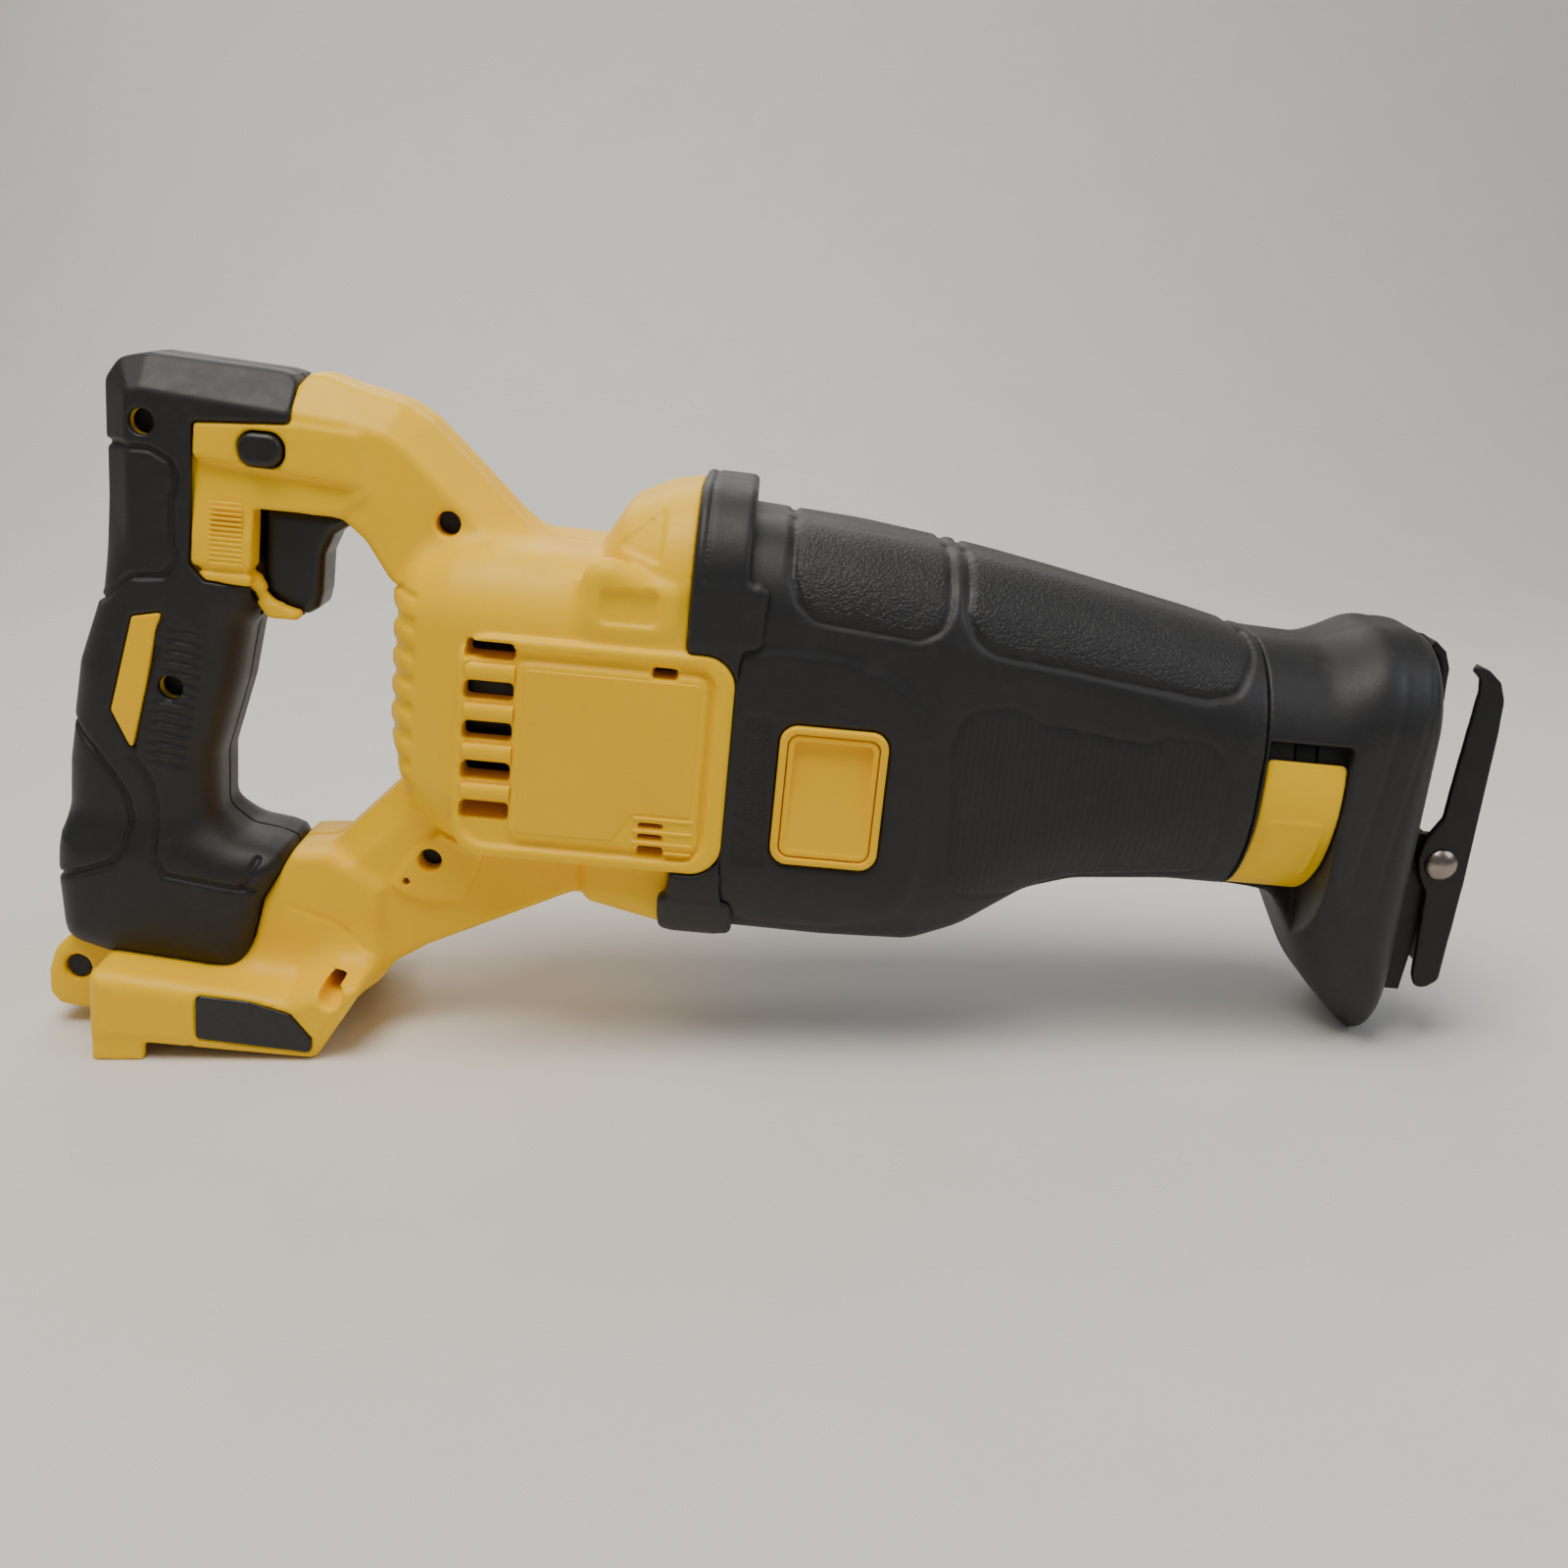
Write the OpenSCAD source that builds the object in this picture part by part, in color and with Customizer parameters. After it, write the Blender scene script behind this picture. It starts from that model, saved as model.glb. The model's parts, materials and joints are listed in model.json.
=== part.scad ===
// Cordless reciprocating saw, standing on its battery foot and nose boot.
// Every sub-part is drawn in the tool's own axes (X along the stroke, Z up, right side at -Y)
// and then leaned nose-down by stand_tilt, so that the part stands on z = 0.

/* [Stance] */
// angle at which the stroke axis dips toward the nose when the saw stands
stand_tilt = 5.5; // [4:0.1:7]
// height of the stroke axis above the floor, measured at the tool's own origin
axis_height = 97.5; // [96:0.5:99]
// shift that centres the standing saw over the row origin
place_x = -11.6; // [-20:0.1:0]

/* [Handle] */
// overall width of the rubber grip
grip_w = 37; // [34:0.5:40]
// thickness of the rubber over the handle core
rubber_t = 3; // [2:0.25:3.5]
// width of the yellow side panels across the handle
panel_w = 36.6; // [34:0.2:37]
// wall thickness of the two clamshell halves
shell_wall = 3; // [2.5:0.25:4]
// width of the trigger
trigger_w = 17; // [14:0.5:19]
// how far the trigger pulls back
trigger_travel = 7; // [4:0.5:7.5]
// height of the oval lock-off button
lock_h = 9; // [7:0.5:10]
// length of the oval lock-off button along the handle
lock_l = 12; // [10:0.5:13]
// sideways travel of the lock-off button
lock_travel = 4; // [2:0.5:5]

/* [Motor housing] */
// wall of the motor housing beside the motor chamber
hub_wall = 6; // [4:0.25:7]
// air gap between the stator and the motor chamber
motor_air = 4; // [3:0.25:5]
// how far each label plate stands out of the motor housing
label_raise = 2.5; // [1.5:0.25:3]
// vent slots on each side
vent_count = 5; // [3:1:5]
// spacing of the vent slots
vent_pitch = 11.4; // [10:0.2:11.6]
// height of one vent slot
vent_h = 5; // [3:0.5:6]
// length of one vent slot
vent_l = 15; // [10:0.5:16]
// bore of the recessed screw holes
screw_recess_d = 7; // [6:0.5:8]
// shank diameter of the housing screws
screw_d = 3.6; // [3:0.2:4.4]

/* [Battery foot] */
// overall width of the battery foot
foot_w = 75; // [72:1:78]
// clear width between the foot's side walls
bay_w = 66; // [62:1:68]
// how far the battery rails reach in from the side walls
rail_reach = 3.5; // [2.5:0.25:4]

/* [Motor] */
// outside diameter of the stator
stator_d = 58; // [54:0.5:60]
// length of the stator
stator_l = 44; // [38:1:48]
// outside diameter of the rotor
rotor_d = 30; // [26:0.5:32]
// diameter of the rotor shaft
shaft_d = 8; // [7:0.5:9]
// outside diameter of the motor bearings
bearing_d = 22; // [20:1:24]
// width of the motor bearings
bearing_w = 7; // [6:0.5:7.5]
// diameter of the cooling fan
fan_d = 59; // [54:0.5:61]
// number of fan blades
fan_blades = 13; // [9:1:17]

/* [Gear train] */
// full travel of the plunger
stroke = 28.6; // [24:0.2:29]
// teeth on the motor pinion
pinion_teeth = 7; // [7:1:7]
// teeth on the crank gear
gear_teeth = 42; // [42:1:42]
// radius at which the pinion meets the crank gear
mesh_radius = 28; // [27:0.25:28.5]
// length of the gear teeth
tooth_l = 6; // [5:0.25:6]
// distance of the crank gear's axis ahead of the tool's origin
gear_x = 46; // [45:0.5:47]
// diameter of the crank roller
roller_d = 10; // [8:0.5:11]

/* [Plunger] */
// diameter of the plunger rod
plunger_d = 16; // [15:0.5:17]
// thickness of the blade socket
slot_t = 2; // [1.6:0.1:2.4]
// height of the blade socket
slot_h = 13.2; // [12:0.2:13.6]
// depth of the blade socket
slot_depth = 20; // [16:1:24]
// outside diameter of the blade clamp collar
clamp_d = 30; // [27:0.5:32]
// length of the blade clamp collar
clamp_l = 22; // [18:0.5:24]

/* [Gear case and boot] */
// half width of the boot around the gear chamber
boot_half = 41; // [40:0.5:41.5]
// wall thickness of the rubber boot
boot_wall = 4; // [3:0.25:4]
// radius of the round nose behind the bumper
nose_r = 34.5; // [34:0.25:35]
// radius of the gear chamber
chamber_r = 32.5; // [32:0.1:32.8]

/* [Blade release lever] */
// thickness of the lever's outer shell
lever_t = 3; // [2:0.25:3.5]
// length of the lever along the nose
lever_l = 22.5; // [18:0.5:23]

/* [Shoe] */
// overall width of the pivoting shoe
shoe_w = 50; // [46:1:52]
// thickness of the shoe's steel
shoe_t = 2.5; // [2:0.25:2.75]
// width of the opening for the blade between the shoe's front strips
blade_gap = 30; // [24:1:34]
// width of the shoe post
post_w = 18; // [14:0.5:18]
// thickness of the shoe post
post_t = 6; // [5:0.25:6]
// how far the shoe post draws out
shoe_travel = 25; // [10:1:30]
// diameter of the shoe's pivot pin
pivot_d = 6; // [5:0.25:7]

/* [Clearances] */
// gap between curved faces that turn past one another
turn_gap = 0.3; // [0.3:0.05:0.5]
// radial gap of a running fit
run_fit = 0.05; // [0.02:0.01:0.1]
// gap round trim pieces set into a recess
trim_gap = 0.2; // [0.1:0.05:0.3]

/* [Hidden] */

// height at which the plate between the shoe's ears ends, below the blade
blade_gap_low = -34;

$fn = 64;
eps = 0.01;

yellow = "#f2b91e";
rubber = "#2b2c2e";
plastic_dark = "#1d1e20";
steel = "#9a9ea3";
steel_dark = "#3a3b3d";
aluminium = "#b9bcc0";
copper = "#b8713a";
brass = "#c9a34a";

grip_half = grip_w / 2;
core_half = grip_half - rubber_t;
panel_half = panel_w / 2;
motor_bore_d = stator_d + 2 * motor_air;
hub_half = motor_bore_d / 2 + hub_wall;
plate_half = hub_half + label_raise;
foot_half = foot_w / 2;
bay_half = bay_w / 2;

// lengthwise stations of the body
hub_front = -5.5;
collar_front = 10;
nose_back = 156.5;
nose_front = 181;
bumper_front = 209;

// motor, measured along the stroke axis
stator_back = -70;
rear_bearing_x = -80;
front_bearing_x = -4;
fan_back = -24;
fan_front = -12;

// crank gear: the toothed face lies under the pinion
pitch = 2 * PI * mesh_radius / gear_teeth;
pinion_r = mesh_radius * pinion_teeth / gear_teeth;
tooth_up = 1.0;
tooth_down = 1.5;
tooth_base = 1.9;
tooth_tip = 0.9;
gear_face = -pinion_r - tooth_down;
gear_t = 6;
gear_r = mesh_radius + tooth_l / 2;
crank_r = stroke / 2;
crank_pin_r = 3;
chamber_floor = gear_face - gear_t - 2;
chamber_top = 24;

// yoke that the crank roller drives
yoke_low = -2.2;
yoke_high = 6.6;
yoke_wall = 3;
tongue_w = 14;
yoke_half_x = roller_d / 2 + yoke_wall + run_fit;
yoke_half_y = crank_r + roller_d / 2 + yoke_wall;
rod_start = gear_x + gear_r + crank_r + 1.5;
rod_end = 186;
plunger_r = plunger_d / 2;
bush_x = 118;
bush_l = 20;
bush_r = plunger_r + 4;
seal_l = 4;
nose_bore_r = 20;
barrel_r = 30.8;
drum_half = 34;
drum_r = boot_half - boot_wall - trim_gap;
axle_r = 4;
axle_seat = 6.5;
clamp_x = rod_end - clamp_l - 1;
pin_x = rod_end - 9;

// release lever, turning about the stroke axis
lever_x = 157.5;
lever_rest_top = 15;
lever_span = 84;
ring_x = 165.5;
ring_l = 7;
ring_r = 31;

// shoe post, under the plunger
post_top = -23;
post_back = 20;
post_front = 209.4;
post_room = 0.8;
rack_depth = 1.5;
rack_pitch = 5;
rack_start = 4;
rack_teeth = 5 + floor(shoe_travel / rack_pitch);
rack_l = rack_start + rack_pitch * rack_teeth;
post_way = 6;
pivot_x = 217;
pivot_z = -20;
bracket_half = shoe_w / 2 - shoe_t - 0.6;
bracket_t = 3;
rivet_head_r = 5;
rivet_head_h = 2.6;

// square shoe-release button
button_x = 37;
button_z = -12;
button_half_x = 12.6;
button_half_z = 17.6;
frame_edge = 2.4;
button_t = 3.5;
button_travel = 3;
thumb_r = 24;
thumb_depth = 1.4;
button_face = -(boot_half + 0.8);
stem_r = 2.5;
stem_z = post_top - post_t - rack_depth - turn_gap - 1.2 - stem_r;
stem_end = 10;
arm_high = -23.5;
arm_y = button_face + button_t + 1.6;
belly_half = 31;
belly_low = 55.5;
belly_wall = 3;
belly_front = 71.5;
light_z = -50;
light_r = 5;
light_seat = 9;

// battery terminals and the block that holds them
terminal_rows = [-14, -7, 7, 14];
terminal_t = 0.8;
terminal_slot = 2.4;
block_back = -160;
block_low = -107;
block_size = [13, 40, 10];

// controller tray in the foot, with its potting pocket
tray_back = -159.5;
tray_low = -97;
tray_size = [44, 55, 6.4];
tray_wall = 2;

// label plate, its recess and the first vent
label_back = -67;
label_ahead = 8.5;
label_low = -38;
label_high = 25;
recess_back = -47;
recess_ahead = 3;
recess_low = -30;
recess_high = 17;
recess_depth = 1.2;
vent_back = -65;
vent_middle_z = -2;

// trigger tongue, with the rest gap to the switch behind it
tongue_back = -141;
tongue_front = -128.9;
tongue_low = 32;
tongue_high = 46;
tongue_half = 5;
trigger_room = 0.8;
trigger_way_low = 18;
trigger_way_high = 48.8;
arm_room_half = 9.5;
strut_room_half = 9;
bay_back = -160;
bay_high = -97;
switch_rest = 0.6;
switch_l = 16.4;
switch_front = tongue_back - trigger_travel - switch_rest;

screw_spots = [[-159, 70], [-152, -4], [-75, 50], [-77, -50], [-102, -89.5]];
screw_halves = [core_half - 0.5, core_half - 0.5, 15, 13, 16];

handle_outline = [
  [-160, 88], [-168, 86], [-172, 80], [-172, 48], [-174, 22], [-181, 0], [-185, -30],
  [-186, -60], [-184, -84], [-170, -88], [-131, -91], [-126, -67], [-118, -52],
  [-134, -50], [-141, -43], [-141, -26], [-135, -4], [-132, 14], [-128, 18], [-128, 48],
  [-118, 49], [-118, 86]
];
grip_top = [[-160, 88], [-168, 86], [-172, 80], [-172, 38], [-118, 38], [-118, 86]];
grip_upper = [
  [-172, 60], [-174, 22], [-180, 3], [-183, -12], [-137, -12], [-132, 14], [-128, 20], [-128, 60]
];
grip_lower = [
  [-179, 8], [-185, -30], [-186, -60], [-184, -84], [-145, -70], [-141, -43], [-141, -26], [-132, 8]
];
grip_flare = [
  [-185.5, -48], [-186, -60], [-184, -84], [-170, -88], [-131, -91], [-126, -67], [-118, -52],
  [-134, -50], [-150, -42]
];
yellow_zone = [
  [-118, 100], [-120, 73], [-145, 71], [-146, 32], [-142, 28], [-130, 27], [-125, 18.4],
  [-60, 18.4], [-60, 100]
];
side_panel = [
  [-144.8, 70.8], [-120, 72.8], [-100, 70], [-97, 56], [-106, 49], [-128, 49], [-128, 27.4],
  [-141.8, 28.2], [-145.8, 32]
];
arm_level = [[-117.8, 86], [-104, 83.5], [-90, 81], [-92, 56], [-106, 49], [-117.8, 49]];
arm_slope = [
  [-104, 83.5], [-90, 81], [-83, 77], [-72, 67], [-55, 51], [-58, 28], [-86, 26], [-98, 42], [-106, 49]
];
strut = [
  [-118, -52], [-108, -51], [-86, -27], [-60, -25], [-30, -40], [-30, -55], [-47, -64], [-77, -78],
  [-92, -87], [-112, -88]
];
pedestal = [[-117.9, -52], [-108, -51], [-90, -60], [-92, -86], [-130.9, -91], [-125.9, -67]];
foot_block = [
  [-171, -86], [-142, -88], [-114, -90], [-101, -84], [-91, -84], [-105, -108.5], [-171, -108]
];
rear_lug = [
  [-170, -86], [-184, -84.2], [-191, -92], [-193, -99], [-193, -106], [-190, -110], [-170, -112]
];
handle_room = [
  [-150, 29], [-150, 62], [-132, 62], [-132, 57], [-96, 57], [-96, 53], [-80, 40], [-70, 30],
  [-60, 34], [-76, 56], [-92, 72], [-118, 76], [-150, 70]
];
battery_rail = [[-156, -106.5], [-104, -106.5], [-101, -102.5], [-156, -102.5]];
strut_room = [[-108, -59], [-84, -36], [-62, -34], [-50, -55], [-80, -70], [-104, -78]];
rear_rail = [[-170, -100], [-155, -100], [-155, -118], [-170, -118]];
insert_points = [[-162, 17], [-153, 18], [-155, 14], [-159, -6], [-163, -24], [-169, -12]];
badge_points = [[-139, -90.5], [-124, -91], [-112, -94], [-106, -101], [-106, -105], [-139, -103.5]];
trigger_outline = [
  [-129, 48.4], [-103.5, 48.4], [-104, 45.5], [-109, 42], [-111.5, 36], [-112, 25],
  [-113, 20.5], [-117, 18.8], [-121, 20], [-126, 26], [-129, 27]
];
shoe_flange = [
  [213.5, 39], [218, 38.5], [222.5, 35], [224.5, 30], [225, 21], [225, -26], [224, -56],
  [221, -58.5], [217.5, -59], [216, -55], [214.5, -29], [211.5, -24], [210.2, -19], [211, -13],
  [215, -6], [215.5, 6], [217, 32]
];

// hub and boot stations: place along X, half width, low edge, high edge, corner radius
bore_r = motor_bore_d / 2;
hub_rows = [
  [-89, hub_half - 17, -14, bore_r - 3, 10], [-83, hub_half - 8, 2 - bore_r, bore_r + 6, 16],
  [-72, hub_half - 3, -bore_r - 6, bore_r + 12, 20], [-60, hub_half, -bore_r - 10, bore_r + 14, 22],
  [hub_front, hub_half, -bore_r - 10.5, bore_r + 13, 22]
];
dome_rows = [
  [-32, hub_half - 13, 0, bore_r + 17, 20], [-25, hub_half - 6, 0, bore_r + 26, 22],
  [-15, hub_half - 2, 0, bore_r + 31.5, 26], [hub_front, hub_half, 0, bore_r + 34, 28]
];
skirt_rows = [[-32, 24, -57, -30, 8], [hub_front, 32, -60, -30, 10]];
boot_rear = [collar_front, boot_half, -61, 61.5, 26];
boot_waist = [72, boot_half, -60.5, 54.5, 27];
boot_rise = [106, boot_half - 3.5, -39, 48.5, 28];
boot_front = [nose_back - 0.5, nose_r + 0.5, -nose_r - 1, nose_r + 3.5, 33];
boot_back_end = [collar_front - 1, boot_half, -61, 61.5, 26];
boot_front_end = [nose_back, nose_r + 0.5, -nose_r - 1, nose_r + 3.5, 33];
bumper_rows = [
  [nose_front, 32, -53, 39, 27], [188, 33, -64, 44.5, 28], [200, 33, -75, 45, 28],
  [205, 32, -80, 43, 26], [bumper_front, 28, -77, 38, 24]
];

// stands the tool, drawn level, on its foot and nose
module placed() {
  translate([place_x, 0, axis_height]) rotate([0, stand_tilt, 0]) children();
}

// everything under the floor that the saw stands on, in the tool's own axes
module under_floor() {
  rotate([0, -stand_tilt, 0]) translate([-300, -100, -axis_height - 60]) cube([600, 200, 60]);
}

// a side outline given thickness from y_low to y_high
module slab(y_low, y_high) {
  translate([0, y_high, 0]) rotate([90, 0, 0]) linear_extrude(y_high - y_low) children();
}

// the same, mirrored to both sides between two distances from the middle
module both_slabs(y_in, y_out) {
  slab(y_in, y_out) children();
  slab(-y_out, -y_in) children();
}

// a convex side outline with its outer edges eased off
module eased_slab(half, ease) {
  hull() {
    slab(-half + ease, half - ease) children();
    slab(-half + 0.3 * ease, half - 0.3 * ease) offset(delta = -0.3 * ease) children();
    slab(-half, half) offset(delta = -ease) children();
  }
}

// a cross-section run along X
module along(x_low, x_high) {
  translate([x_low, 0, 0]) rotate([90, 0, 90]) linear_extrude(x_high - x_low) children();
}

// rounded rectangle between two heights
module body_section(half, low, high, corner) {
  translate([0, (low + high) / 2]) offset(corner)
    square([2 * (half - corner), high - low - 2 * corner], center = true);
}

// smooth body through a few stations, drawn in by inset
module body_skin(rows, inset = 0) {
  hull() for (s = rows) {
    along(s[0], s[0] + eps) offset(delta = -inset) body_section(s[1], s[2], s[3], s[4], $fn = 40);
  }
}

// cylinder along X, and along Y
module rod_x(x_low, x_high, r) {
  translate([x_low, 0, 0]) rotate([0, 90, 0]) cylinder(h = x_high - x_low, r = r);
}
module rod_y(x, z, y_low, y_high, r) {
  translate([x, y_low, z]) rotate([-90, 0, 0]) cylinder(h = y_high - y_low, r = r);
}

module tube_x(x_low, x_high, r_in, r_out) {
  difference() {
    rod_x(x_low, x_high, r_out);
    rod_x(x_low - 1, x_high + 1, r_in);
  }
}

module right_half() {
  intersection() {
    children();
    translate([-260, -60, -160]) cube([560, 60, 320]);
  }
}
module left_half() {
  intersection() {
    children();
    translate([-260, 0, -160]) cube([560, 60, 320]);
  }
}

module rounded_panel(x_low, x_high, z_low, z_high, corner) {
  translate([(x_low + x_high) / 2, (z_low + z_high) / 2]) offset(corner)
    square([x_high - x_low - 2 * corner, z_high - z_low - 2 * corner], center = true);
}

module core_outline() {
  offset(delta = -rubber_t) polygon(handle_outline);
}

module label_outline() {
  rounded_panel(label_back, label_ahead, label_low, label_high, 9);
}

// recess of the bare label plate, or the plate itself
module recess_outline(grow = 0) {
  rounded_panel(recess_back - grow, recess_ahead + grow, recess_low - grow, recess_high + grow, 2, $fn = 16);
}

module insert_outline(grow = 0) {
  offset(delta = grow) polygon(insert_points);
}

module badge_outline(grow = 0) {
  offset(delta = grow) polygon(badge_points);
}

// oval of the lock-off button
module lock_oval(grow = 0) {
  translate([-126.5, 65.5]) offset(lock_h / 2 - 0.5 + grow) square([lock_l - lock_h + 1, 1], center = true);
}

// solid form of the two-part housing
module housing_form() {
  body_skin(hub_rows);
  body_skin(dome_rows);
  body_skin(skirt_rows);
  eased_slab(16, 5) polygon(arm_level);
  eased_slab(17, 5) polygon(arm_slope);
  eased_slab(15, 4) polygon(strut);
  eased_slab(foot_half, 3) polygon(foot_block);
  slab(-17, 17) polygon(pedestal);
  slab(-core_half, core_half) core_outline();
  slab(-panel_half, panel_half) polygon(side_panel);
  slab(-12, 12) polygon(rear_lug);
  both_slabs(bay_half - 5, foot_half - 1) polygon(rear_rail);
  both_slabs(hub_half - 6, plate_half) label_outline();
}

// rooms inside the housing
module housing_rooms() {
  rod_x(stator_back - 2, hub_front + 1, motor_bore_d / 2);
  rod_x(rear_bearing_x, stator_back, bearing_d / 2 + run_fit);
  slab(-core_half + shell_wall, core_half - shell_wall) offset(delta = -shell_wall) core_outline();
  slab(-arm_room_half, arm_room_half) polygon(handle_room);
  trigger_way(trigger_way_low);
  slab(-strut_room_half, strut_room_half) polygon(strut_room);
  translate([bay_back, -bay_half, bay_high - 38]) cube([80, bay_w, 38]);
  translate([bay_back, -tray_size[1] / 2 - 0.5, bay_high - 1])
    cube([tray_size[0] + 1, tray_size[1] + 1, tray_size[2] + 1.1]);
}

// bosses, bearing seat and stator rings that stand inside the rooms
module housing_insides() {
  tube_x(-66, -61, stator_d / 2 + run_fit, motor_bore_d / 2 + 1);
  tube_x(-35, -30, stator_d / 2 + run_fit, motor_bore_d / 2 + 1);
  for (i = [0:len(screw_spots) - 1]) {
    rod_y(screw_spots[i][0], screw_spots[i][1], -screw_halves[i] + 2, screw_halves[i] - 2,
      screw_recess_d / 2 + 1.6);
  }
  both_slabs(bay_half - rail_reach, bay_half + 1) polygon(battery_rail);
}

// bores, slots and recesses cut last of all
module housing_cuts() {
  for (i = [0:len(screw_spots) - 1]) {
    rod_y(screw_spots[i][0], screw_spots[i][1], -60, -screw_halves[i] + 6, screw_recess_d / 2);
    rod_y(screw_spots[i][0], screw_spots[i][1], -screw_halves[i], screw_halves[i] - 4, screw_d / 2 + run_fit);
  }
  for (k = [0:vent_count - 1]) {
    vent_z = vent_middle_z + (k - (vent_count - 1) / 2) * vent_pitch;
    both_slabs(20, 60)
      rounded_panel(vent_back, vent_back + vent_l, vent_z - vent_h / 2, vent_z + vent_h / 2, 1.5, $fn = 16);
  }
  slab(-60, 60) lock_oval(trim_gap);
  both_slabs(plate_half - recess_depth, 60) recess_outline(trim_gap);
  both_slabs(core_half - 1.5, 60) insert_outline(0.2);
  both_slabs(foot_half - 1.2, 60) badge_outline(trim_gap);
  rod_x(rear_bearing_x - 12, stator_back, shaft_d / 2 + 1);
  under_floor();
}

// way of the trigger through the housing and the grip
module trigger_way(low) {
  slab(-trigger_w / 2 - trigger_room, trigger_w / 2 + trigger_room)
    polygon([[-150, low], [-100, low], [-100, trigger_way_high], [-150, trigger_way_high]]);
}

module housing() {
  difference() {
    union() {
      difference() {
        housing_form();
        housing_rooms();
      }
      housing_insides();
    }
    housing_cuts();
    // the boot collar and gear case begin where the housing ends
    along(hub_front, 40) square([200, 200], center = true);
  }
}

// the label plates run on over the boot collar, so their front ends are added back
module label_tongue(grow = 0, y_out = plate_half) {
  intersection() {
    both_slabs(plate_half - 3.6 - grow, y_out) offset(delta = grow) label_outline();
    along(hub_front - eps, 40) square([200, 200], center = true);
  }
}

module label_front() {
  difference() {
    label_tongue();
    both_slabs(plate_half - recess_depth, 60) recess_outline(trim_gap);
  }
}

module housing_right() placed() color(yellow) {
  right_half() housing();
  right_half() label_front();
}

module housing_left() placed() color(yellow) {
  left_half() housing();
  left_half() label_front();
}

// rubber moulded round the handle core
module grip_rubber() {
  difference() {
    union() {
      eased_slab(grip_half, 7) polygon(grip_top);
      eased_slab(grip_half, 7) polygon(grip_upper);
      eased_slab(grip_half + 0.5, 7) polygon(grip_lower);
      eased_slab(grip_half + 2, 6) polygon(grip_flare);
    }
    slab(-60, 60) polygon(yellow_zone);
    slab(-60, 60) polygon(pedestal);
    slab(-core_half, core_half) core_outline();
    both_slabs(core_half - 2, 60) insert_outline(0);
    slab(-12, 12) polygon(rear_lug);
    eased_slab(foot_half, 3) polygon(foot_block);
    for (i = [0:1]) rod_y(screw_spots[i][0], screw_spots[i][1], -60, 0, screw_recess_d / 2);
    trigger_way(trigger_way_low + trim_gap);
  }
}

module grip_rubber_right() placed() color(rubber) {
  right_half() grip_rubber();
}

module grip_rubber_left() placed() color(rubber) {
  left_half() grip_rubber();
}

module grip_insert_right() placed() color(yellow) {
  slab(-grip_half - 0.2, -core_half + 1.5) insert_outline(-trim_gap);
}

module grip_insert_left() placed() color(yellow) {
  slab(core_half - 1.5, grip_half + 0.2) insert_outline(-trim_gap);
}

// bare plates in the label recesses
module side_plate_right() placed() color(yellow) {
  slab(-plate_half + 0.4, -plate_half + recess_depth) recess_outline();
}

module side_plate_left() placed() color(yellow) {
  slab(plate_half - recess_depth, plate_half - 0.4) recess_outline();
}

module badge_right() placed() color(rubber) {
  slab(-foot_half, -foot_half + 1.2) badge_outline();
}

module badge_left() placed() color(rubber) {
  slab(foot_half - 1.2, foot_half) badge_outline();
}

module housing_screws() placed() color(steel_dark) {
  for (i = [0:len(screw_spots) - 1]) {
    x = screw_spots[i][0];
    z = screw_spots[i][1];
    head = -screw_halves[i] + 6;
    difference() {
      rod_y(x, z, head - 3, head, screw_recess_d / 2 - trim_gap);
      rod_y(x, z, head - 4, head - 1.4, 1.5, $fn = 6);
    }
    rod_y(x, z, head - eps, screw_halves[i] - 4.2, screw_d / 2);
  }
}

module trigger() placed() color(plastic_dark) {
  slab(-trigger_w / 2, trigger_w / 2) polygon(trigger_outline);
  translate([tongue_back, -tongue_half, tongue_low])
    cube([tongue_front - tongue_back, 2 * tongue_half, tongue_high - tongue_low]);
}

module lock_button() placed() color(plastic_dark) {
  slab(-panel_half - lock_travel / 2, panel_half + 0.5 - lock_travel / 2) lock_oval();
}

module switch_module() placed() color(plastic_dark) {
  difference() {
    translate([switch_front - switch_l, -core_half + shell_wall + trim_gap, 26])
      cube([switch_l, 2 * (core_half - shell_wall - trim_gap), 32]);
    rod_y(-159, 30, -20, 20, 1.5);
  }
}

module terminal_block() placed() color(plastic_dark) {
  difference() {
    translate([block_back, -block_size[1] / 2, block_low]) cube(block_size);
    for (y = terminal_rows) translate([block_back + 8, y - terminal_slot / 2, block_low + 1])
      cube([6, terminal_slot, 7]);
  }
}

module terminals() placed() color(brass) {
  for (y = terminal_rows) translate([block_back + 8, y - terminal_t / 2, block_low + 1.5])
    cube([14, terminal_t, 6]);
}

module controller() placed() color(aluminium) {
  difference() {
    translate([tray_back, -tray_size[1] / 2, tray_low]) cube(tray_size);
    translate([tray_back + tray_wall, -tray_size[1] / 2 + tray_wall, tray_low - 0.1])
      cube([tray_size[0] - 2 * tray_wall, tray_size[1] - 2 * tray_wall, 4]);
  }
}

module stator() placed() color(steel) {
  difference() {
    rod_x(stator_back + 4, stator_back + stator_l, stator_d / 2);
    rod_x(stator_back, stator_back + stator_l + 1, rotor_d / 2 + 8);
    for (a = [30:60:330]) rotate([a, 0, 0]) translate([stator_back, stator_d / 2, 0])
      rod_x(0, stator_l + 1, 1.6);
  }
  for (a = [0:60:300]) rotate([a, 0, 0])
    translate([stator_back + 6, -2, rotor_d / 2 + 0.5]) cube([stator_l - 11, 4, 8]);
}

// six coils on their teeth, inside the stator ring
module windings() placed() color(copper) {
  for (a = [0:60:300]) rotate([a, 0, 0]) {
    difference() {
      translate([stator_back + 1, -5.5, rotor_d / 2 + 1]) cube([stator_l - 1, 11, 6.2]);
      translate([stator_back + 5.8, -2.2, rotor_d / 2]) cube([stator_l - 10.6, 4.4, 9]);
    }
  }
}

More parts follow.
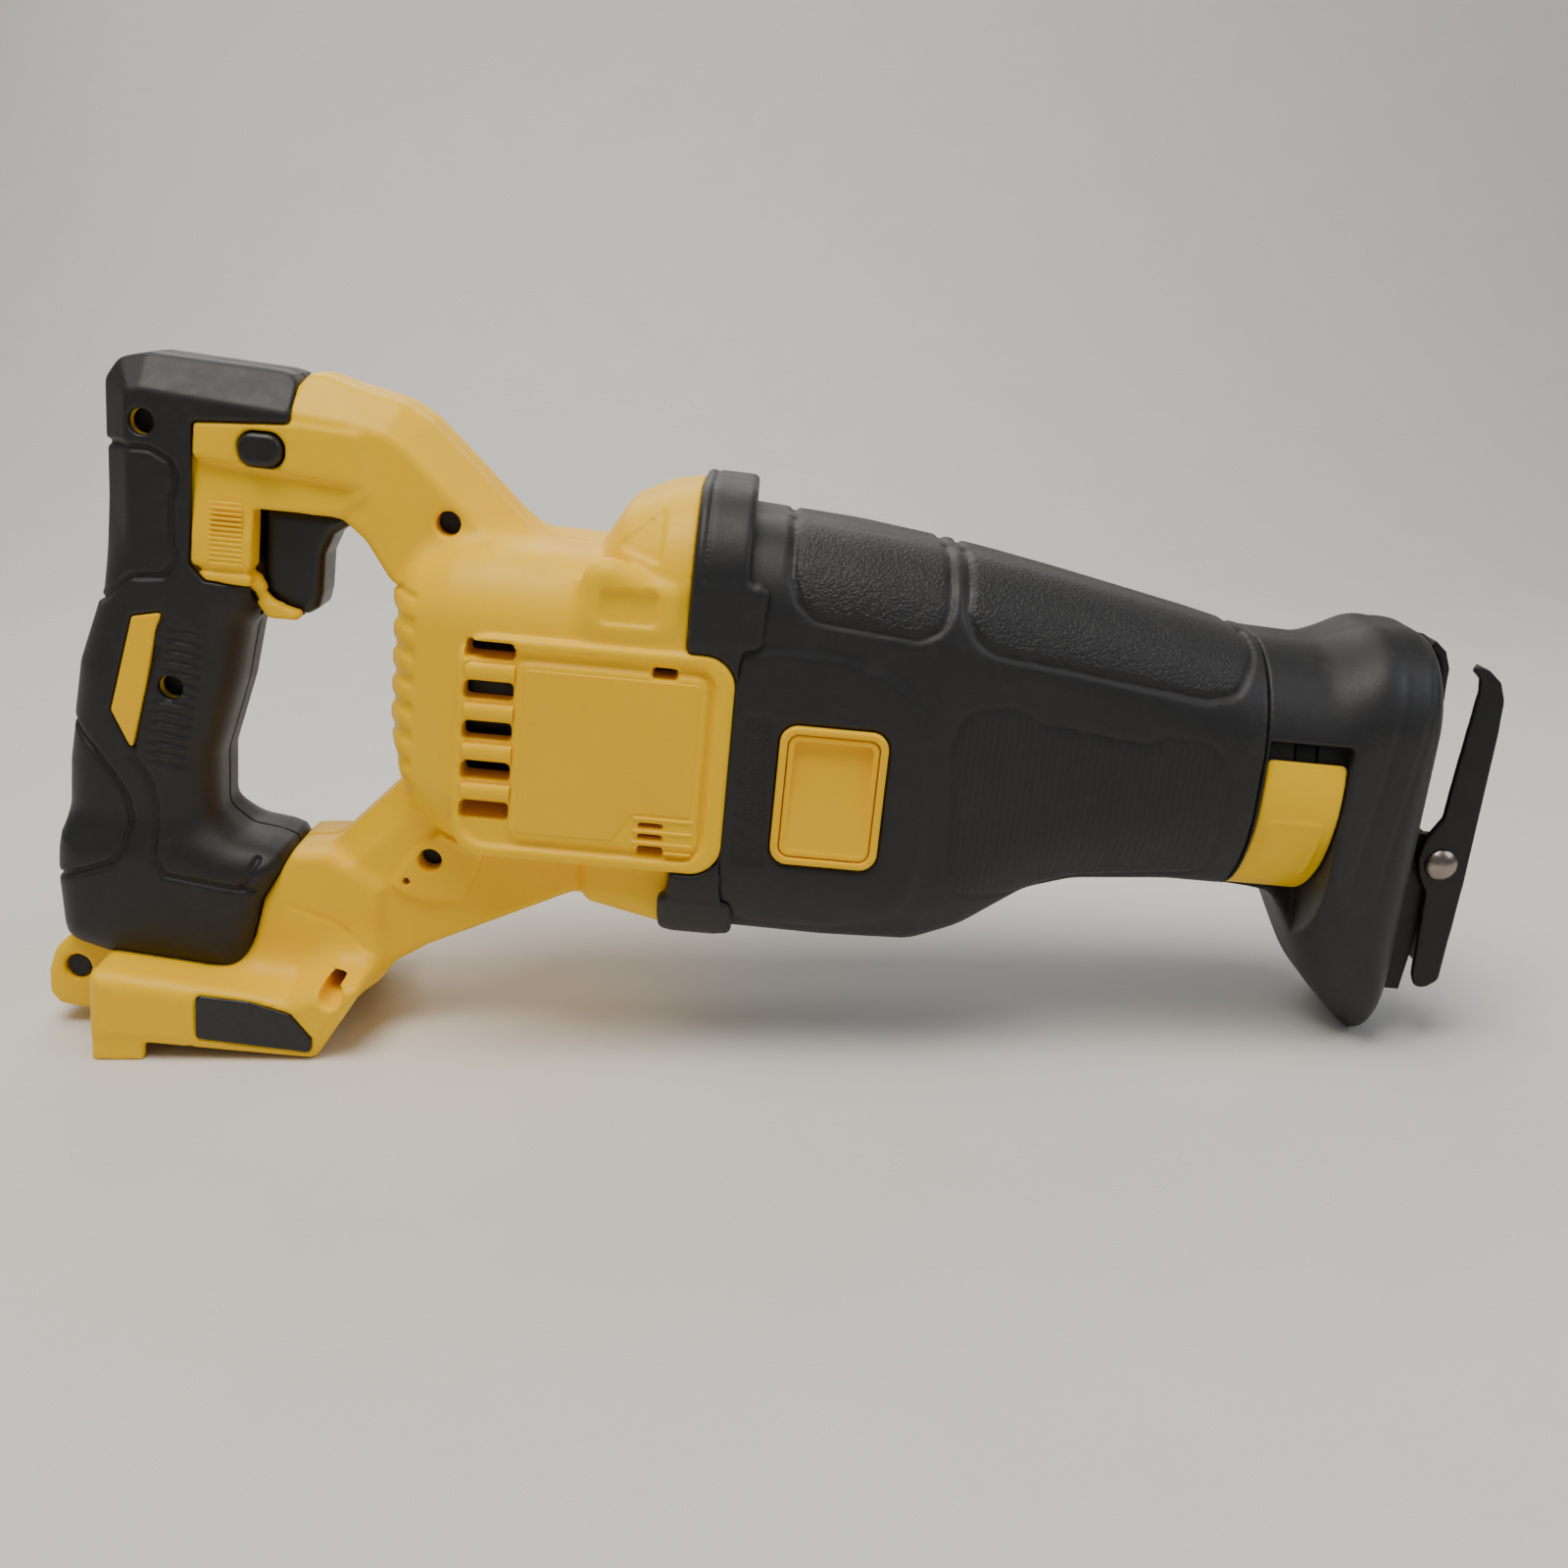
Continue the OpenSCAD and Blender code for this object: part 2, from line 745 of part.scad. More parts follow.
module rotor() placed() color(steel) {
  rod_x(rear_bearing_x + 0.3, gear_x - mesh_radius - tooth_l / 2, shaft_d / 2);
  difference() {
    rod_x(stator_back + 5, stator_back + stator_l - 3, rotor_d / 2 - 0.2);
    for (a = [0:45:315]) rotate([a, 0, 0]) translate([0, rotor_d / 2 - 0.2, 0]) rod_x(-90, 0, 0.8);
  }
}

module fan() placed() color(plastic_dark) {
  difference() {
    rod_x(fan_back, fan_back + 2, fan_d / 2);
    rod_x(fan_back - 1, fan_back + 3, shaft_d / 2 + run_fit);
  }
  tube_x(fan_back + 1, fan_front, shaft_d / 2 + run_fit, 9);
  for (k = [0:fan_blades - 1]) rotate([k * 360 / fan_blades, 0, 0])
    translate([fan_back + 1.5, -0.8, 8]) cube([fan_front - fan_back - 2, 1.6, fan_d / 2 - 9]);
}

// spur pinion cut with slim teeth, so it runs freely over the face of the crank gear
module pinion() placed() color(steel) {
  start = gear_x - mesh_radius - tooth_l / 2;
  along(start, start + tooth_l) {
    circle(pinion_r - tooth_down + 0.2);
    for (k = [0:pinion_teeth - 1]) rotate(k * 360 / pinion_teeth)
      polygon([
        [-tooth_base / 2, 0], [tooth_base / 2, 0], [tooth_base / 2, pinion_r - 1],
        [tooth_tip / 2, pinion_r + tooth_up], [-tooth_tip / 2, pinion_r + tooth_up],
        [-tooth_base / 2, pinion_r - 1]
      ]);
  }
}

module ball_bearing(x, bore) {
  tube_x(x, x + bearing_w, bore, bore + 2.4);
  tube_x(x, x + bearing_w, bearing_d / 2 - 2.4, bearing_d / 2);
  tube_x(x + 1, x + bearing_w - 1, bore + 2, bearing_d / 2 - 2);
}

module rear_bearing() placed() color(steel) {
  ball_bearing(rear_bearing_x, shaft_d / 2 + run_fit);
}

module front_bearing() placed() color(steel) {
  ball_bearing(front_bearing_x, shaft_d / 2 + run_fit);
}

// section of the belly that hangs under the drum
module belly_outline(inset) {
  polygon([
    [-belly_half - belly_wall + inset, -drum_half + 1], [-belly_half - belly_wall + inset, -44 + inset / 3],
    [-20 + inset / 3, -belly_low + inset], [20 - inset / 3, -belly_low + inset],
    [belly_half + belly_wall - inset, -44 + inset / 3], [belly_half + belly_wall - inset, -drum_half + 1]
  ]);
}

// drum round the crank gear, belly below it, barrel round the plunger and round nose
module case_form() {
  translate([gear_x, 0, -drum_half]) cylinder(h = drum_half + chamber_top + 6, r = drum_r);
  along(front_bearing_x, gear_x) offset(8) square([2 * (drum_r - 8), 2 * (drum_half - 8)], center = true);
  along(collar_front, belly_front) belly_outline(0);
  rod_x(gear_x, nose_back + eps, barrel_r);
  rod_x(nose_back, nose_front, nose_r);
}

module gear_case() placed() color(aluminium) {
  difference() {
    case_form();
    translate([gear_x, 0, chamber_floor]) cylinder(h = chamber_top - chamber_floor + eps, r = chamber_r);
    translate([gear_x, 0, chamber_top]) cylinder(h = 60, r = chamber_r + 1.5);
    // motor shaft and its bearing
    rod_x(front_bearing_x - 1, front_bearing_x + bearing_w, bearing_d / 2 + run_fit);
    rod_x(front_bearing_x, gear_x, bearing_d / 2 - 3);
    // plunger way, bushing seat and nose
    rod_x(gear_x, bush_x, plunger_r + 5.5);
    rod_x(bush_x - 1, bush_x + bush_l + seal_l, bush_r);
    rod_x(bush_x + bush_l + seal_l - eps, nose_front + 1, nose_bore_r);
    // crank gear axle
    translate([gear_x, 0, chamber_floor - axle_seat]) cylinder(h = axle_seat + 1, r = axle_r);
    // shoe post tunnel, rack groove and hollow belly
    translate([post_back - post_way, -post_w / 2 - turn_gap, post_top - post_t - turn_gap])
      cube([200, post_w + 2 * turn_gap, post_t + 2 * turn_gap]);
    translate([post_back - post_way, -7, post_top - post_t - rack_depth - turn_gap])
      cube([post_way + rack_l + shoe_travel + 1, 8, rack_depth + 1]);
    along(collar_front + belly_wall, belly_front - belly_wall) belly_outline(belly_wall);
    // lightening pockets under the chamber floor and round the barrel
    for (x = [-23, 23], y = [-23, 23]) translate([gear_x + x, y, -drum_half - 1]) cylinder(h = 17, r = 8);
    for (s = [-1, 1]) slab(s * 21 - 5, s * 21 + 5) polygon([[88, -14], [114, -14], [114, 40], [88, 40]]);
    // release button pocket and stem bore
    slab(-60, button_face + button_t + button_travel + 0.3) button_outline(trim_gap);
    rod_y(button_x, stem_z, -60, 0, stem_r + run_fit);
    rod_y(button_x, stem_z, -8, belly_half, stem_r + 2.6);
    translate([button_x - 3.4, -60, stem_z - stem_r - 0.4])
      cube([6.8, 60 + arm_y + 3 + button_travel + 0.4, arm_high - stem_z + stem_r + 0.8]);
    // groove for the lever's ring
    tube_x(ring_x, ring_x + ring_l, ring_r, nose_r + 5);
    frame_solid(trim_gap);
  }
}

module gear_cover() placed() color(aluminium) {
  translate([gear_x, 0, chamber_top]) {
    difference() {
      cylinder(h = 4, r = chamber_r + 1.5 - run_fit);
      for (a = [45:90:315]) rotate(a) translate([chamber_r - 3, 0, 1.5]) cylinder(h = 3, r = 3);
    }
    cylinder(h = 7, r = 12);
  }
}

module gear_axle() placed() color(steel) {
  translate([gear_x, 0, chamber_floor - axle_seat])
    cylinder(h = gear_face - chamber_floor + axle_seat + 1, r = axle_r);
}

module crank_gear() placed() color(steel) {
  difference() {
    union() {
      translate([gear_x, 0, gear_face - gear_t]) cylinder(h = gear_t, r = gear_r);
      translate([gear_x, 0, gear_face - gear_t - 1]) cylinder(h = 2, r = 9);
      translate([gear_x, 0, gear_face]) gear_tooth_ring();
      // counterweight opposite the crank roller
      translate([gear_x, 0, gear_face - gear_t - 1.5]) rotate([0, 0, 190])
        rotate_extrude(angle = 160) translate([14, 0]) square([gear_r - 15, 2]);
    }
    translate([gear_x, 0, gear_face - gear_t - 2]) cylinder(h = gear_t + 10, r = axle_r + run_fit);
    for (a = [-30, 210]) translate([gear_x, 0, gear_face - gear_t - 2]) rotate(a) translate([17, 0, 0])
      cylinder(h = gear_t + 4, r = 4.5);
    translate([gear_x, crank_r, gear_face - gear_t - 2]) cylinder(h = gear_t + 3, r = crank_pin_r + run_fit);
  }
}

// radial teeth on the upper face; at rest one of them lies in the pinion's lowest gap
module gear_tooth_ring() {
  for (k = [0:gear_teeth - 1]) rotate(k * 360 / gear_teeth)
    translate([mesh_radius - tooth_l / 2, 0, -eps]) rotate([90, 0, 90]) linear_extrude(tooth_l - 0.2)
      polygon([[-tooth_base / 2, 0], [tooth_base / 2, 0], [tooth_base / 2, tooth_down - 0.8],
        [tooth_tip / 2, tooth_down + tooth_up - 0.2], [-tooth_tip / 2, tooth_down + tooth_up - 0.2],
        [-tooth_base / 2, tooth_down - 0.8]]);
}

// the roller ends just under the yoke, because the two move independently in this model
module crank_roller() placed() color(steel) {
  translate([gear_x, crank_r, gear_face - gear_t + 1]) cylinder(h = gear_t, r = crank_pin_r);
  translate([gear_x, crank_r, gear_face]) cylinder(h = yoke_low - turn_gap - gear_face, r = roller_d / 2);
}

// cross-slotted yoke, flat tongue and round rod with the blade socket
module plunger() placed() color(steel) {
  difference() {
    union() {
      translate([gear_x - yoke_half_x, -yoke_half_y, yoke_low])
        cube([2 * yoke_half_x, 2 * yoke_half_y, yoke_high - yoke_low]);
      translate([gear_x, -tongue_w / 2, yoke_low])
        cube([rod_start + 2 - gear_x, tongue_w, yoke_high - yoke_low]);
      rod_x(rod_start, rod_end, plunger_r);
    }
    hull() {
      for (s = [-1, 1]) translate([gear_x, s * crank_r, yoke_low - 1])
        cylinder(h = yoke_high - yoke_low + 2, r = roller_d / 2 + run_fit);
    }
    translate([rod_end - slot_depth, -slot_t / 2, -slot_h / 2]) cube([slot_depth + 1, slot_t, slot_h]);
    rod_y(pin_x, 0, -20, 0, 2 + run_fit);
  }
}

module plunger_bushing() placed() color(brass) {
  tube_x(bush_x, bush_x + bush_l, plunger_r + run_fit, bush_r - run_fit);
}

module plunger_seal() placed() color(rubber) {
  tube_x(bush_x + bush_l, bush_x + bush_l + seal_l, plunger_r + turn_gap, bush_r - run_fit);
}

module clamp_pin() placed() color(steel) {
  rod_y(pin_x, 0, -plunger_r, -slot_t / 2 - 0.1, 2);
}

// knurled collar that turns on the rod
module clamp_collar() placed() color(steel_dark) {
  difference() {
    rod_x(clamp_x, clamp_x + clamp_l, clamp_d / 2);
    rod_x(clamp_x - 1, clamp_x + clamp_l + 1, plunger_r + turn_gap);
    for (a = [0:30:330]) rotate([a, 0, 0]) translate([0, clamp_d / 2 + 0.8, 0])
      rod_x(clamp_x + 3, clamp_x + clamp_l - 3, 1.8);
  }
}

// sector of a tube about the stroke axis, from an angle below the right side upward
module sector_x(x_low, length, r_in, r_out, from, span) {
  translate([x_low, 0, 0]) rotate([0, 90, 0]) rotate([0, 0, -from]) rotate_extrude(angle = span)
    translate([r_in, 0]) square([r_out - r_in, length]);
}

module release_lever() placed() color(yellow) {
  lever_in = nose_r + turn_gap;
  sector_x(lever_x, lever_l, lever_in, lever_in + lever_t, 90 + lever_rest_top, lever_span);
  sector_x(ring_x + turn_gap, ring_l - 2 * turn_gap, ring_r + turn_gap, nose_r - 0.4,
    90 + lever_rest_top + 60, 270);
  sector_x(ring_x + 1, ring_l - 2, nose_r - 1, lever_in + 1, 90 + lever_rest_top - 6, lever_span - 12);
}

module boot_collar() placed() color(rubber) {
  difference() {
    union() {
      along(hub_front, collar_front) body_section(boot_half + 0.8, -63.5, 68.5, 27, $fn = 48);
      along(hub_front - 3, collar_front + 4) intersection() {
        body_section(boot_half + 0.4, -62.5, 68.5, 27, $fn = 48);
        translate([0, -64]) square([72, 22], center = true);
      }
    }
    along(hub_front - 4, collar_front + 5) offset(delta = -boot_wall)
      body_section(boot_rear[1], boot_rear[2], boot_rear[3], boot_rear[4], $fn = 40);
    body_skin(skirt_rows);
    label_tongue(trim_gap, 60);
    body_skin([boot_rear, boot_waist]);
  }
}

module boot() placed() color(rubber) {
  difference() {
    union() {
      body_skin([boot_rear, boot_waist]);
      body_skin([boot_waist, boot_rise]);
      body_skin([boot_rise, boot_front]);
    }
    body_skin([boot_back_end, boot_waist], boot_wall);
    body_skin([boot_waist, boot_rise], boot_wall);
    body_skin([boot_rise, boot_front_end], boot_wall);
    frame_solid(trim_gap);
  }
}

module boot_bumper() placed() color(rubber) {
  difference() {
    body_skin(bumper_rows);
    rod_x(nose_front - 1, bumper_front + 1, nose_bore_r + 1);
    translate([nose_front - 1, -post_w / 2 - post_room, post_top - post_t - post_room])
      cube([40, post_w + 2 * post_room, post_t + 8]);
    translate([0, 0, light_z]) rod_x(bumper_front - light_seat, bumper_front + 3, light_r);
    under_floor();
  }
}

module work_light() placed() color("#e8edf2") {
  translate([bumper_front - light_seat, 0, light_z]) {
    rod_x(0, 6, light_r - run_fit);
    rod_x(0, 8, light_r - 1.5);
  }
}

module shoe_post() placed() color(steel) {
  difference() {
    union() {
      translate([post_back, -post_w / 2, post_top - post_t]) cube([post_front - post_back, post_w, post_t]);
      for (k = [0:rack_teeth - 1])
        translate([post_back + rack_start + rack_pitch * k, -6, post_top - post_t - rack_depth])
          cube([2.4, 5, rack_depth + eps]);
    }
    for (x = [60:30:150]) translate([x, 0, post_top - post_t - 1]) cylinder(h = post_t + 2, r = 2.5);
  }
}

// cross plate and two ears that carry the shoe
module shoe_bracket() placed() color(steel_dark) {
  difference() {
    union() {
      translate([post_front, -bracket_half, -61]) cube([bracket_t, 2 * bracket_half, 49]);
      both_slabs(bracket_half - bracket_t, bracket_half) polygon([
        [post_front, -61], [214, -61], [215, -50], [216, -25], [pivot_x, -15.2], [214, -12],
        [post_front, -12]
      ]);
      for (s = [-1, 1]) rod_y(pivot_x, pivot_z, s * (bracket_half - bracket_t / 2) - bracket_t / 2,
        s * (bracket_half - bracket_t / 2) + bracket_t / 2, 5);
    }
    rod_y(pivot_x, pivot_z, -60, 60, pivot_d / 2 + run_fit);
    translate([0, 0, light_z]) rod_x(200, 220, light_r + 1.5);
  }
}

module shoe() placed() color(steel_dark) {
  difference() {
    union() {
      both_slabs(shoe_w / 2 - shoe_t, shoe_w / 2) polygon(shoe_flange);
      slab(-shoe_w / 2 + 1, shoe_w / 2 - 1) polygon([
        [225 - shoe_t, 21], [225, 21], [225, -26], [224, -56], [224 - shoe_t, -55], [225 - shoe_t, -26]]);
      slab(-shoe_w / 2 + 1, shoe_w / 2 - 1) polygon([
        [225 - shoe_t, 20.5], [225, 20.5], [224.5, 30], [222.5, 35], [218, 38.5], [217, 36],
        [220.6, 33], [222, 29.5]
      ]);
    }
    translate([post_front + 10, -blade_gap / 2, blade_gap_low]) cube([20, blade_gap, 80]);
    rod_y(pivot_x, pivot_z, -60, 60, pivot_d / 2 + run_fit);
  }
}

// through pin with a domed head on each side
module shoe_rivet() placed() color(steel) {
  reach = shoe_w / 2 + run_fit;
  rod_y(pivot_x, pivot_z, -reach - eps, reach + eps, pivot_d / 2);
  for (s = [-1, 1]) translate([pivot_x, s * reach, pivot_z]) rotate([-90 * s, 0, 0])
    rotate_extrude() intersection() {
      translate([0, rivet_head_h - 6.2]) circle(6.2, $fn = 96);
      square([rivet_head_r, rivet_head_h + 1]);
    }
}

module button_outline(grow = 0) {
  rounded_panel(button_x - button_half_x - grow, button_x + button_half_x + grow,
    button_z - button_half_z - grow, button_z + button_half_z + grow, 3 + grow, $fn = 24);
}

module frame_outline(grow = 0) {
  edge = frame_edge + grow;
  rounded_panel(button_x - button_half_x - edge, button_x + button_half_x + edge,
    button_z - button_half_z - edge, button_z + button_half_z + edge, 5 + grow, $fn = 24);
}

module frame_solid(grow = 0) {
  slab(button_face - 0.6 - grow, -boot_half + boot_wall - 0.2 + grow) frame_outline(grow);
}

module button_frame() placed() color(yellow) {
  difference() {
    frame_solid();
    slab(-60, 0) button_outline(trim_gap);
  }
}

// square button with a thumb hollow, pushed straight in
module shoe_button() placed() color(yellow) {
  difference() {
    slab(button_face, button_face + button_t) button_outline();
    translate([button_x, button_face - thumb_r + thumb_depth, button_z]) rotate([0, 90, 0])
      cylinder(h = 18, r = thumb_r, center = true);
  }
}

module lock_stem() placed() color(steel) {
  translate([button_x - 3, button_face + button_t, arm_high - 5]) cube([6, 4.6, 5]);
  translate([button_x - 3, arm_y, stem_z - stem_r]) cube([6, 3, arm_high - stem_z + stem_r]);
  rod_y(button_x, stem_z, arm_y + 1, stem_end, stem_r);
  rod_y(button_x, stem_z, stem_end - 1.5, stem_end, stem_r + 2);
  translate([button_x - 1, -5.5, stem_z]) cube([2, 3.4, stem_r + 1]);
}

// return spring of the shoe button, with closed flat ends
module lock_spring() placed() color(steel) {
  turns = 5;
  wire = 1;
  start = stem_end + 0.1;
  end = belly_half - 0.1;
  translate([button_x, start, stem_z]) rotate([-90, 0, 0]) {
    for (z = [0, end - start - wire]) translate([0, 0, z]) difference() {
      cylinder(h = wire, r = 3.6 + wire / 2);
      translate([0, 0, -1]) cylinder(h = wire + 2, r = 3.6 - wire / 2);
    }
    translate([0, 0, wire / 2])
      linear_extrude(end - start - wire, twist = -360 * turns, slices = 12 * turns, $fn = 6)
        translate([3.6, 0]) circle(wire / 2, $fn = 6);
  }
}

housing_right();
housing_left();
grip_rubber_right();
grip_rubber_left();
grip_insert_right();
grip_insert_left();
side_plate_right();
side_plate_left();
badge_right();
badge_left();
housing_screws();
trigger();
lock_button();
switch_module();
terminal_block();
terminals();
controller();
stator();
windings();
rotor();
fan();
pinion();
rear_bearing();
front_bearing();
gear_case();
gear_cover();
gear_axle();
crank_gear();
crank_roller();
plunger();
plunger_bushing();
plunger_seal();
clamp_pin();
clamp_collar();
release_lever();
boot_collar();
boot();
boot_bumper();
work_light();
shoe_post();
shoe_bracket();
shoe();
shoe_rivet();
button_frame();
shoe_button();
lock_stem();
lock_spring();
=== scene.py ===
"""Cordless reciprocating saw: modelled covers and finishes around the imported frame.

The moulded parts are written as distance fields in the tool's own axes (X along the stroke,
Y to the saw's left, Z up, millimetres), meshed, and carried into the frame's metres.
"""
import json
import logging
import math
from dataclasses import dataclass
from enum import Enum
from typing import Sequence

import bpy
import numpy as np
from mathutils import Matrix, Vector


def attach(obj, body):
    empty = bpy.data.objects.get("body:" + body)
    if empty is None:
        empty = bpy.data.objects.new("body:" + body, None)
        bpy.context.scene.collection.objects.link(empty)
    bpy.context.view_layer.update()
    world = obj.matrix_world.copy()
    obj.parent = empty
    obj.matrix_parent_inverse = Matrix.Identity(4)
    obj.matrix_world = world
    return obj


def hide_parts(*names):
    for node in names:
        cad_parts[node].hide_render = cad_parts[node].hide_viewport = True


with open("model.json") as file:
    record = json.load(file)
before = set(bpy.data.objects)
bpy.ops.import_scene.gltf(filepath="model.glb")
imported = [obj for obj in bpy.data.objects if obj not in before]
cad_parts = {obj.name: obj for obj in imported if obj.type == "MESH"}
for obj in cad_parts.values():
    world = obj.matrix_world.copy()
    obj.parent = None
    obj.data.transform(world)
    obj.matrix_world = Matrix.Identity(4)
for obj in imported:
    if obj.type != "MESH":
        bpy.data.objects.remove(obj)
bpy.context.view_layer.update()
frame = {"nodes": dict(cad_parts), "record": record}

LOG = logging.getLogger("saw")
Array = np.ndarray
Pair = tuple[float, float]
Triple = tuple[float, float, float]
Outline = Sequence[Pair]
MM = 0.001
PIECE_TRIANGLES = 190_000


# ---------------------------------------------------------------- frame and sides

def tool_axes() -> Matrix:
    """Matrix from the tool's own axes in millimetres to the frame in metres.

    Returns:
        The matrix.
    """
    joints = {joint["name"]: joint for joint in frame["record"]["behaviour"]["joints"]}
    forward = Vector(joints["plunger_slide"]["axis"]).normalized()
    origin = Vector(joints["rotor_spin"]["pos_m"])
    side = Vector((0.0, 1.0, 0.0))
    basis = Matrix((forward, side, forward.cross(side))).transposed()
    return Matrix.Translation(origin) @ (basis * MM).to_4x4()


TOOL = tool_axes()


def height(x: Array, z: Array) -> Array:
    """Height above the floor, in millimetres, of points in the tool's own axes."""
    return (x * TOOL[2][0] + z * TOOL[2][2] + TOOL[2][3]) / MM


class Side(Enum):
    """Half of the saw; the value is the sign of its Y."""

    RIGHT = -1
    LEFT = 1

    @property
    def label(self) -> str:
        """Lower-case name used in the names of pieces."""
        return self.name.lower()


# ---------------------------------------------------------------- distance fields

def step_up(value: Array) -> Array:
    """Smooth rise from 0 to 1 as the value goes from 0 to 1."""
    held = np.clip(value, 0.0, 1.0)
    return held * held * (3.0 - 2.0 * held)


def meet(a: Array, b: Array, ease: float = 0.0) -> Array:
    """Overlap of two fields, with the edge between them rounded off.

    Args:
        a: First field, negative inside.
        b: Second field, negative inside.
        ease: Radius of the rounded edge.

    Returns:
        The field of the overlap.
    """
    if ease <= 0.0:
        return np.maximum(a, b)
    beyond = np.hypot(np.maximum(a + ease, 0.0), np.maximum(b + ease, 0.0))
    return np.minimum(np.maximum(a, b), -ease) + beyond


def fuse(a: Array, b: Array, fillet: float = 0.0) -> Array:
    """Union of two fields with a fillet of about the given size between them.

    Args:
        a: First field, negative inside.
        b: Second field, negative inside.
        fillet: Size of the fillet.

    Returns:
        The field of the union.
    """
    if fillet <= 0.0:
        return np.minimum(a, b)
    share = np.clip(0.5 + 0.5 * (b - a) / fillet, 0.0, 1.0)
    return b + (a - b) * share - fillet * share * (1.0 - share)


def cut(a: Array, b: Array, lip: float = 0.0) -> Array:
    """The first field with the second taken away, its lip softened."""
    return -fuse(-a, b, lip)


def raised(shape: Array, mask: Array, lift: Array | float, edge: float = 1.2) -> Array:
    """Field with the skin inside a mask lifted, or sunk where the lift is negative.

    Args:
        shape: Field to change.
        mask: Signed distance to the outline of the changed patch.
        lift: How far the skin moves out.
        edge: Width of the slope at the patch's outline.

    Returns:
        The changed field.
    """
    return shape - lift * step_up(0.5 - mask / edge)


def rounded(points: Outline, radius: float, steps: int = 3) -> list[Pair]:
    """Outline with each corner turned into a short curve of about the given radius.

    Args:
        points: Corners of the outline.
        radius: Radius of each corner.
        steps: Number of straight runs in each corner.

    Returns:
        Points of the rounded outline.
    """
    if radius <= 0.0:
        return list(points)
    curve = []
    count = len(points)
    for i in range(count):
        spot = np.array(points[i], float)
        back = np.array(points[i - 1], float) - spot
        ahead = np.array(points[(i + 1) % count], float) - spot
        back_length, ahead_length = np.linalg.norm(back), np.linalg.norm(ahead)
        cosine = float(np.clip(back @ ahead / (back_length * ahead_length), -1.0, 1.0))
        reach = radius / max(math.tan(0.5 * math.acos(cosine)), 0.05)
        start = spot + back / back_length * min(reach, 0.45 * back_length)
        end = spot + ahead / ahead_length * min(reach, 0.45 * ahead_length)
        for k in range(steps + 1):
            t = k / steps
            curve.append(tuple((1 - t) ** 2 * start + 2 * t * (1 - t) * spot + t * t * end))
    return curve


def plan(u: Array, v: Array, points: Outline, radius: float = 0.0) -> Array:
    """Signed distance in a plane to a closed outline, negative inside.

    Args:
        u: First coordinate of the samples.
        v: Second coordinate of the samples.
        points: Corners of the outline.
        radius: Radius that its corners are rounded to.

    Returns:
        Distances in the shape that u and v broadcast to.
    """
    corners = rounded(points, radius)
    nearest = np.full(np.broadcast(u, v).shape, np.inf, np.float32)
    sign = np.ones_like(nearest)
    for (ax, az), (bx, bz) in zip(corners, corners[-1:] + corners[:-1]):
        ex, ez = bx - ax, bz - az
        length = ex * ex + ez * ez
        if length < 1e-12:
            continue
        wx, wz = u - ax, v - az
        share = np.clip((wx * ex + wz * ez) / length, 0.0, 1.0)
        nearest = np.minimum(nearest, (wx - ex * share) ** 2 + (wz - ez * share) ** 2)
        above, below, left = v >= az, v < bz, ex * wz > ez * wx
        sign = np.where((above & below & left) | ~(above | below | left), -sign, sign)
    return sign * np.sqrt(nearest)


def trail(u: Array, v: Array, points: Outline) -> Array:
    """Distance in a plane to an open line through the points.

    Args:
        u: First coordinate of the samples.
        v: Second coordinate of the samples.
        points: Points of the line.

    Returns:
        Distances in the shape that u and v broadcast to.
    """
    nearest = np.full(np.broadcast(u, v).shape, np.inf, np.float32)
    for (ax, az), (bx, bz) in zip(points[:-1], points[1:]):
        ex, ez = bx - ax, bz - az
        share = np.clip(((u - ax) * ex + (v - az) * ez) / (ex * ex + ez * ez), 0.0, 1.0)
        nearest = np.minimum(nearest, (u - ax - ex * share) ** 2 + (v - az - ez * share) ** 2)
    return np.sqrt(nearest)


def panel(u: Array, v: Array, low: Pair, high: Pair, corner: float) -> Array:
    """Signed distance in a plane to a rectangle with rounded corners.

    Args:
        u: First coordinate of the samples.
        v: Second coordinate of the samples.
        low: Lower corner.
        high: Upper corner.
        corner: Radius of the corners.

    Returns:
        Distances, negative inside.
    """
    qu = np.abs(u - 0.5 * (low[0] + high[0])) - 0.5 * (high[0] - low[0]) + corner
    qv = np.abs(v - 0.5 * (low[1] + high[1])) - 0.5 * (high[1] - low[1]) + corner
    return np.hypot(np.maximum(qu, 0.0), np.maximum(qv, 0.0)) + np.minimum(np.maximum(qu, qv), 0.0) - corner


def between(value: Array, low: float, high: float) -> Array:
    """Signed distance to a slab between two values, negative inside."""
    return np.abs(value - 0.5 * (low + high)) - 0.5 * (high - low)


def disc(u: Array, v: Array, centre: Pair, radius: float) -> Array:
    """Signed distance in a plane to a circle."""
    return np.hypot(u - centre[0], v - centre[1]) - radius


@dataclass(frozen=True)
class Station:
    """Cross-section of a body: its place along the stroke, half width, edges and corner radius."""

    x: float
    half: float
    low: float
    high: float
    corner: float


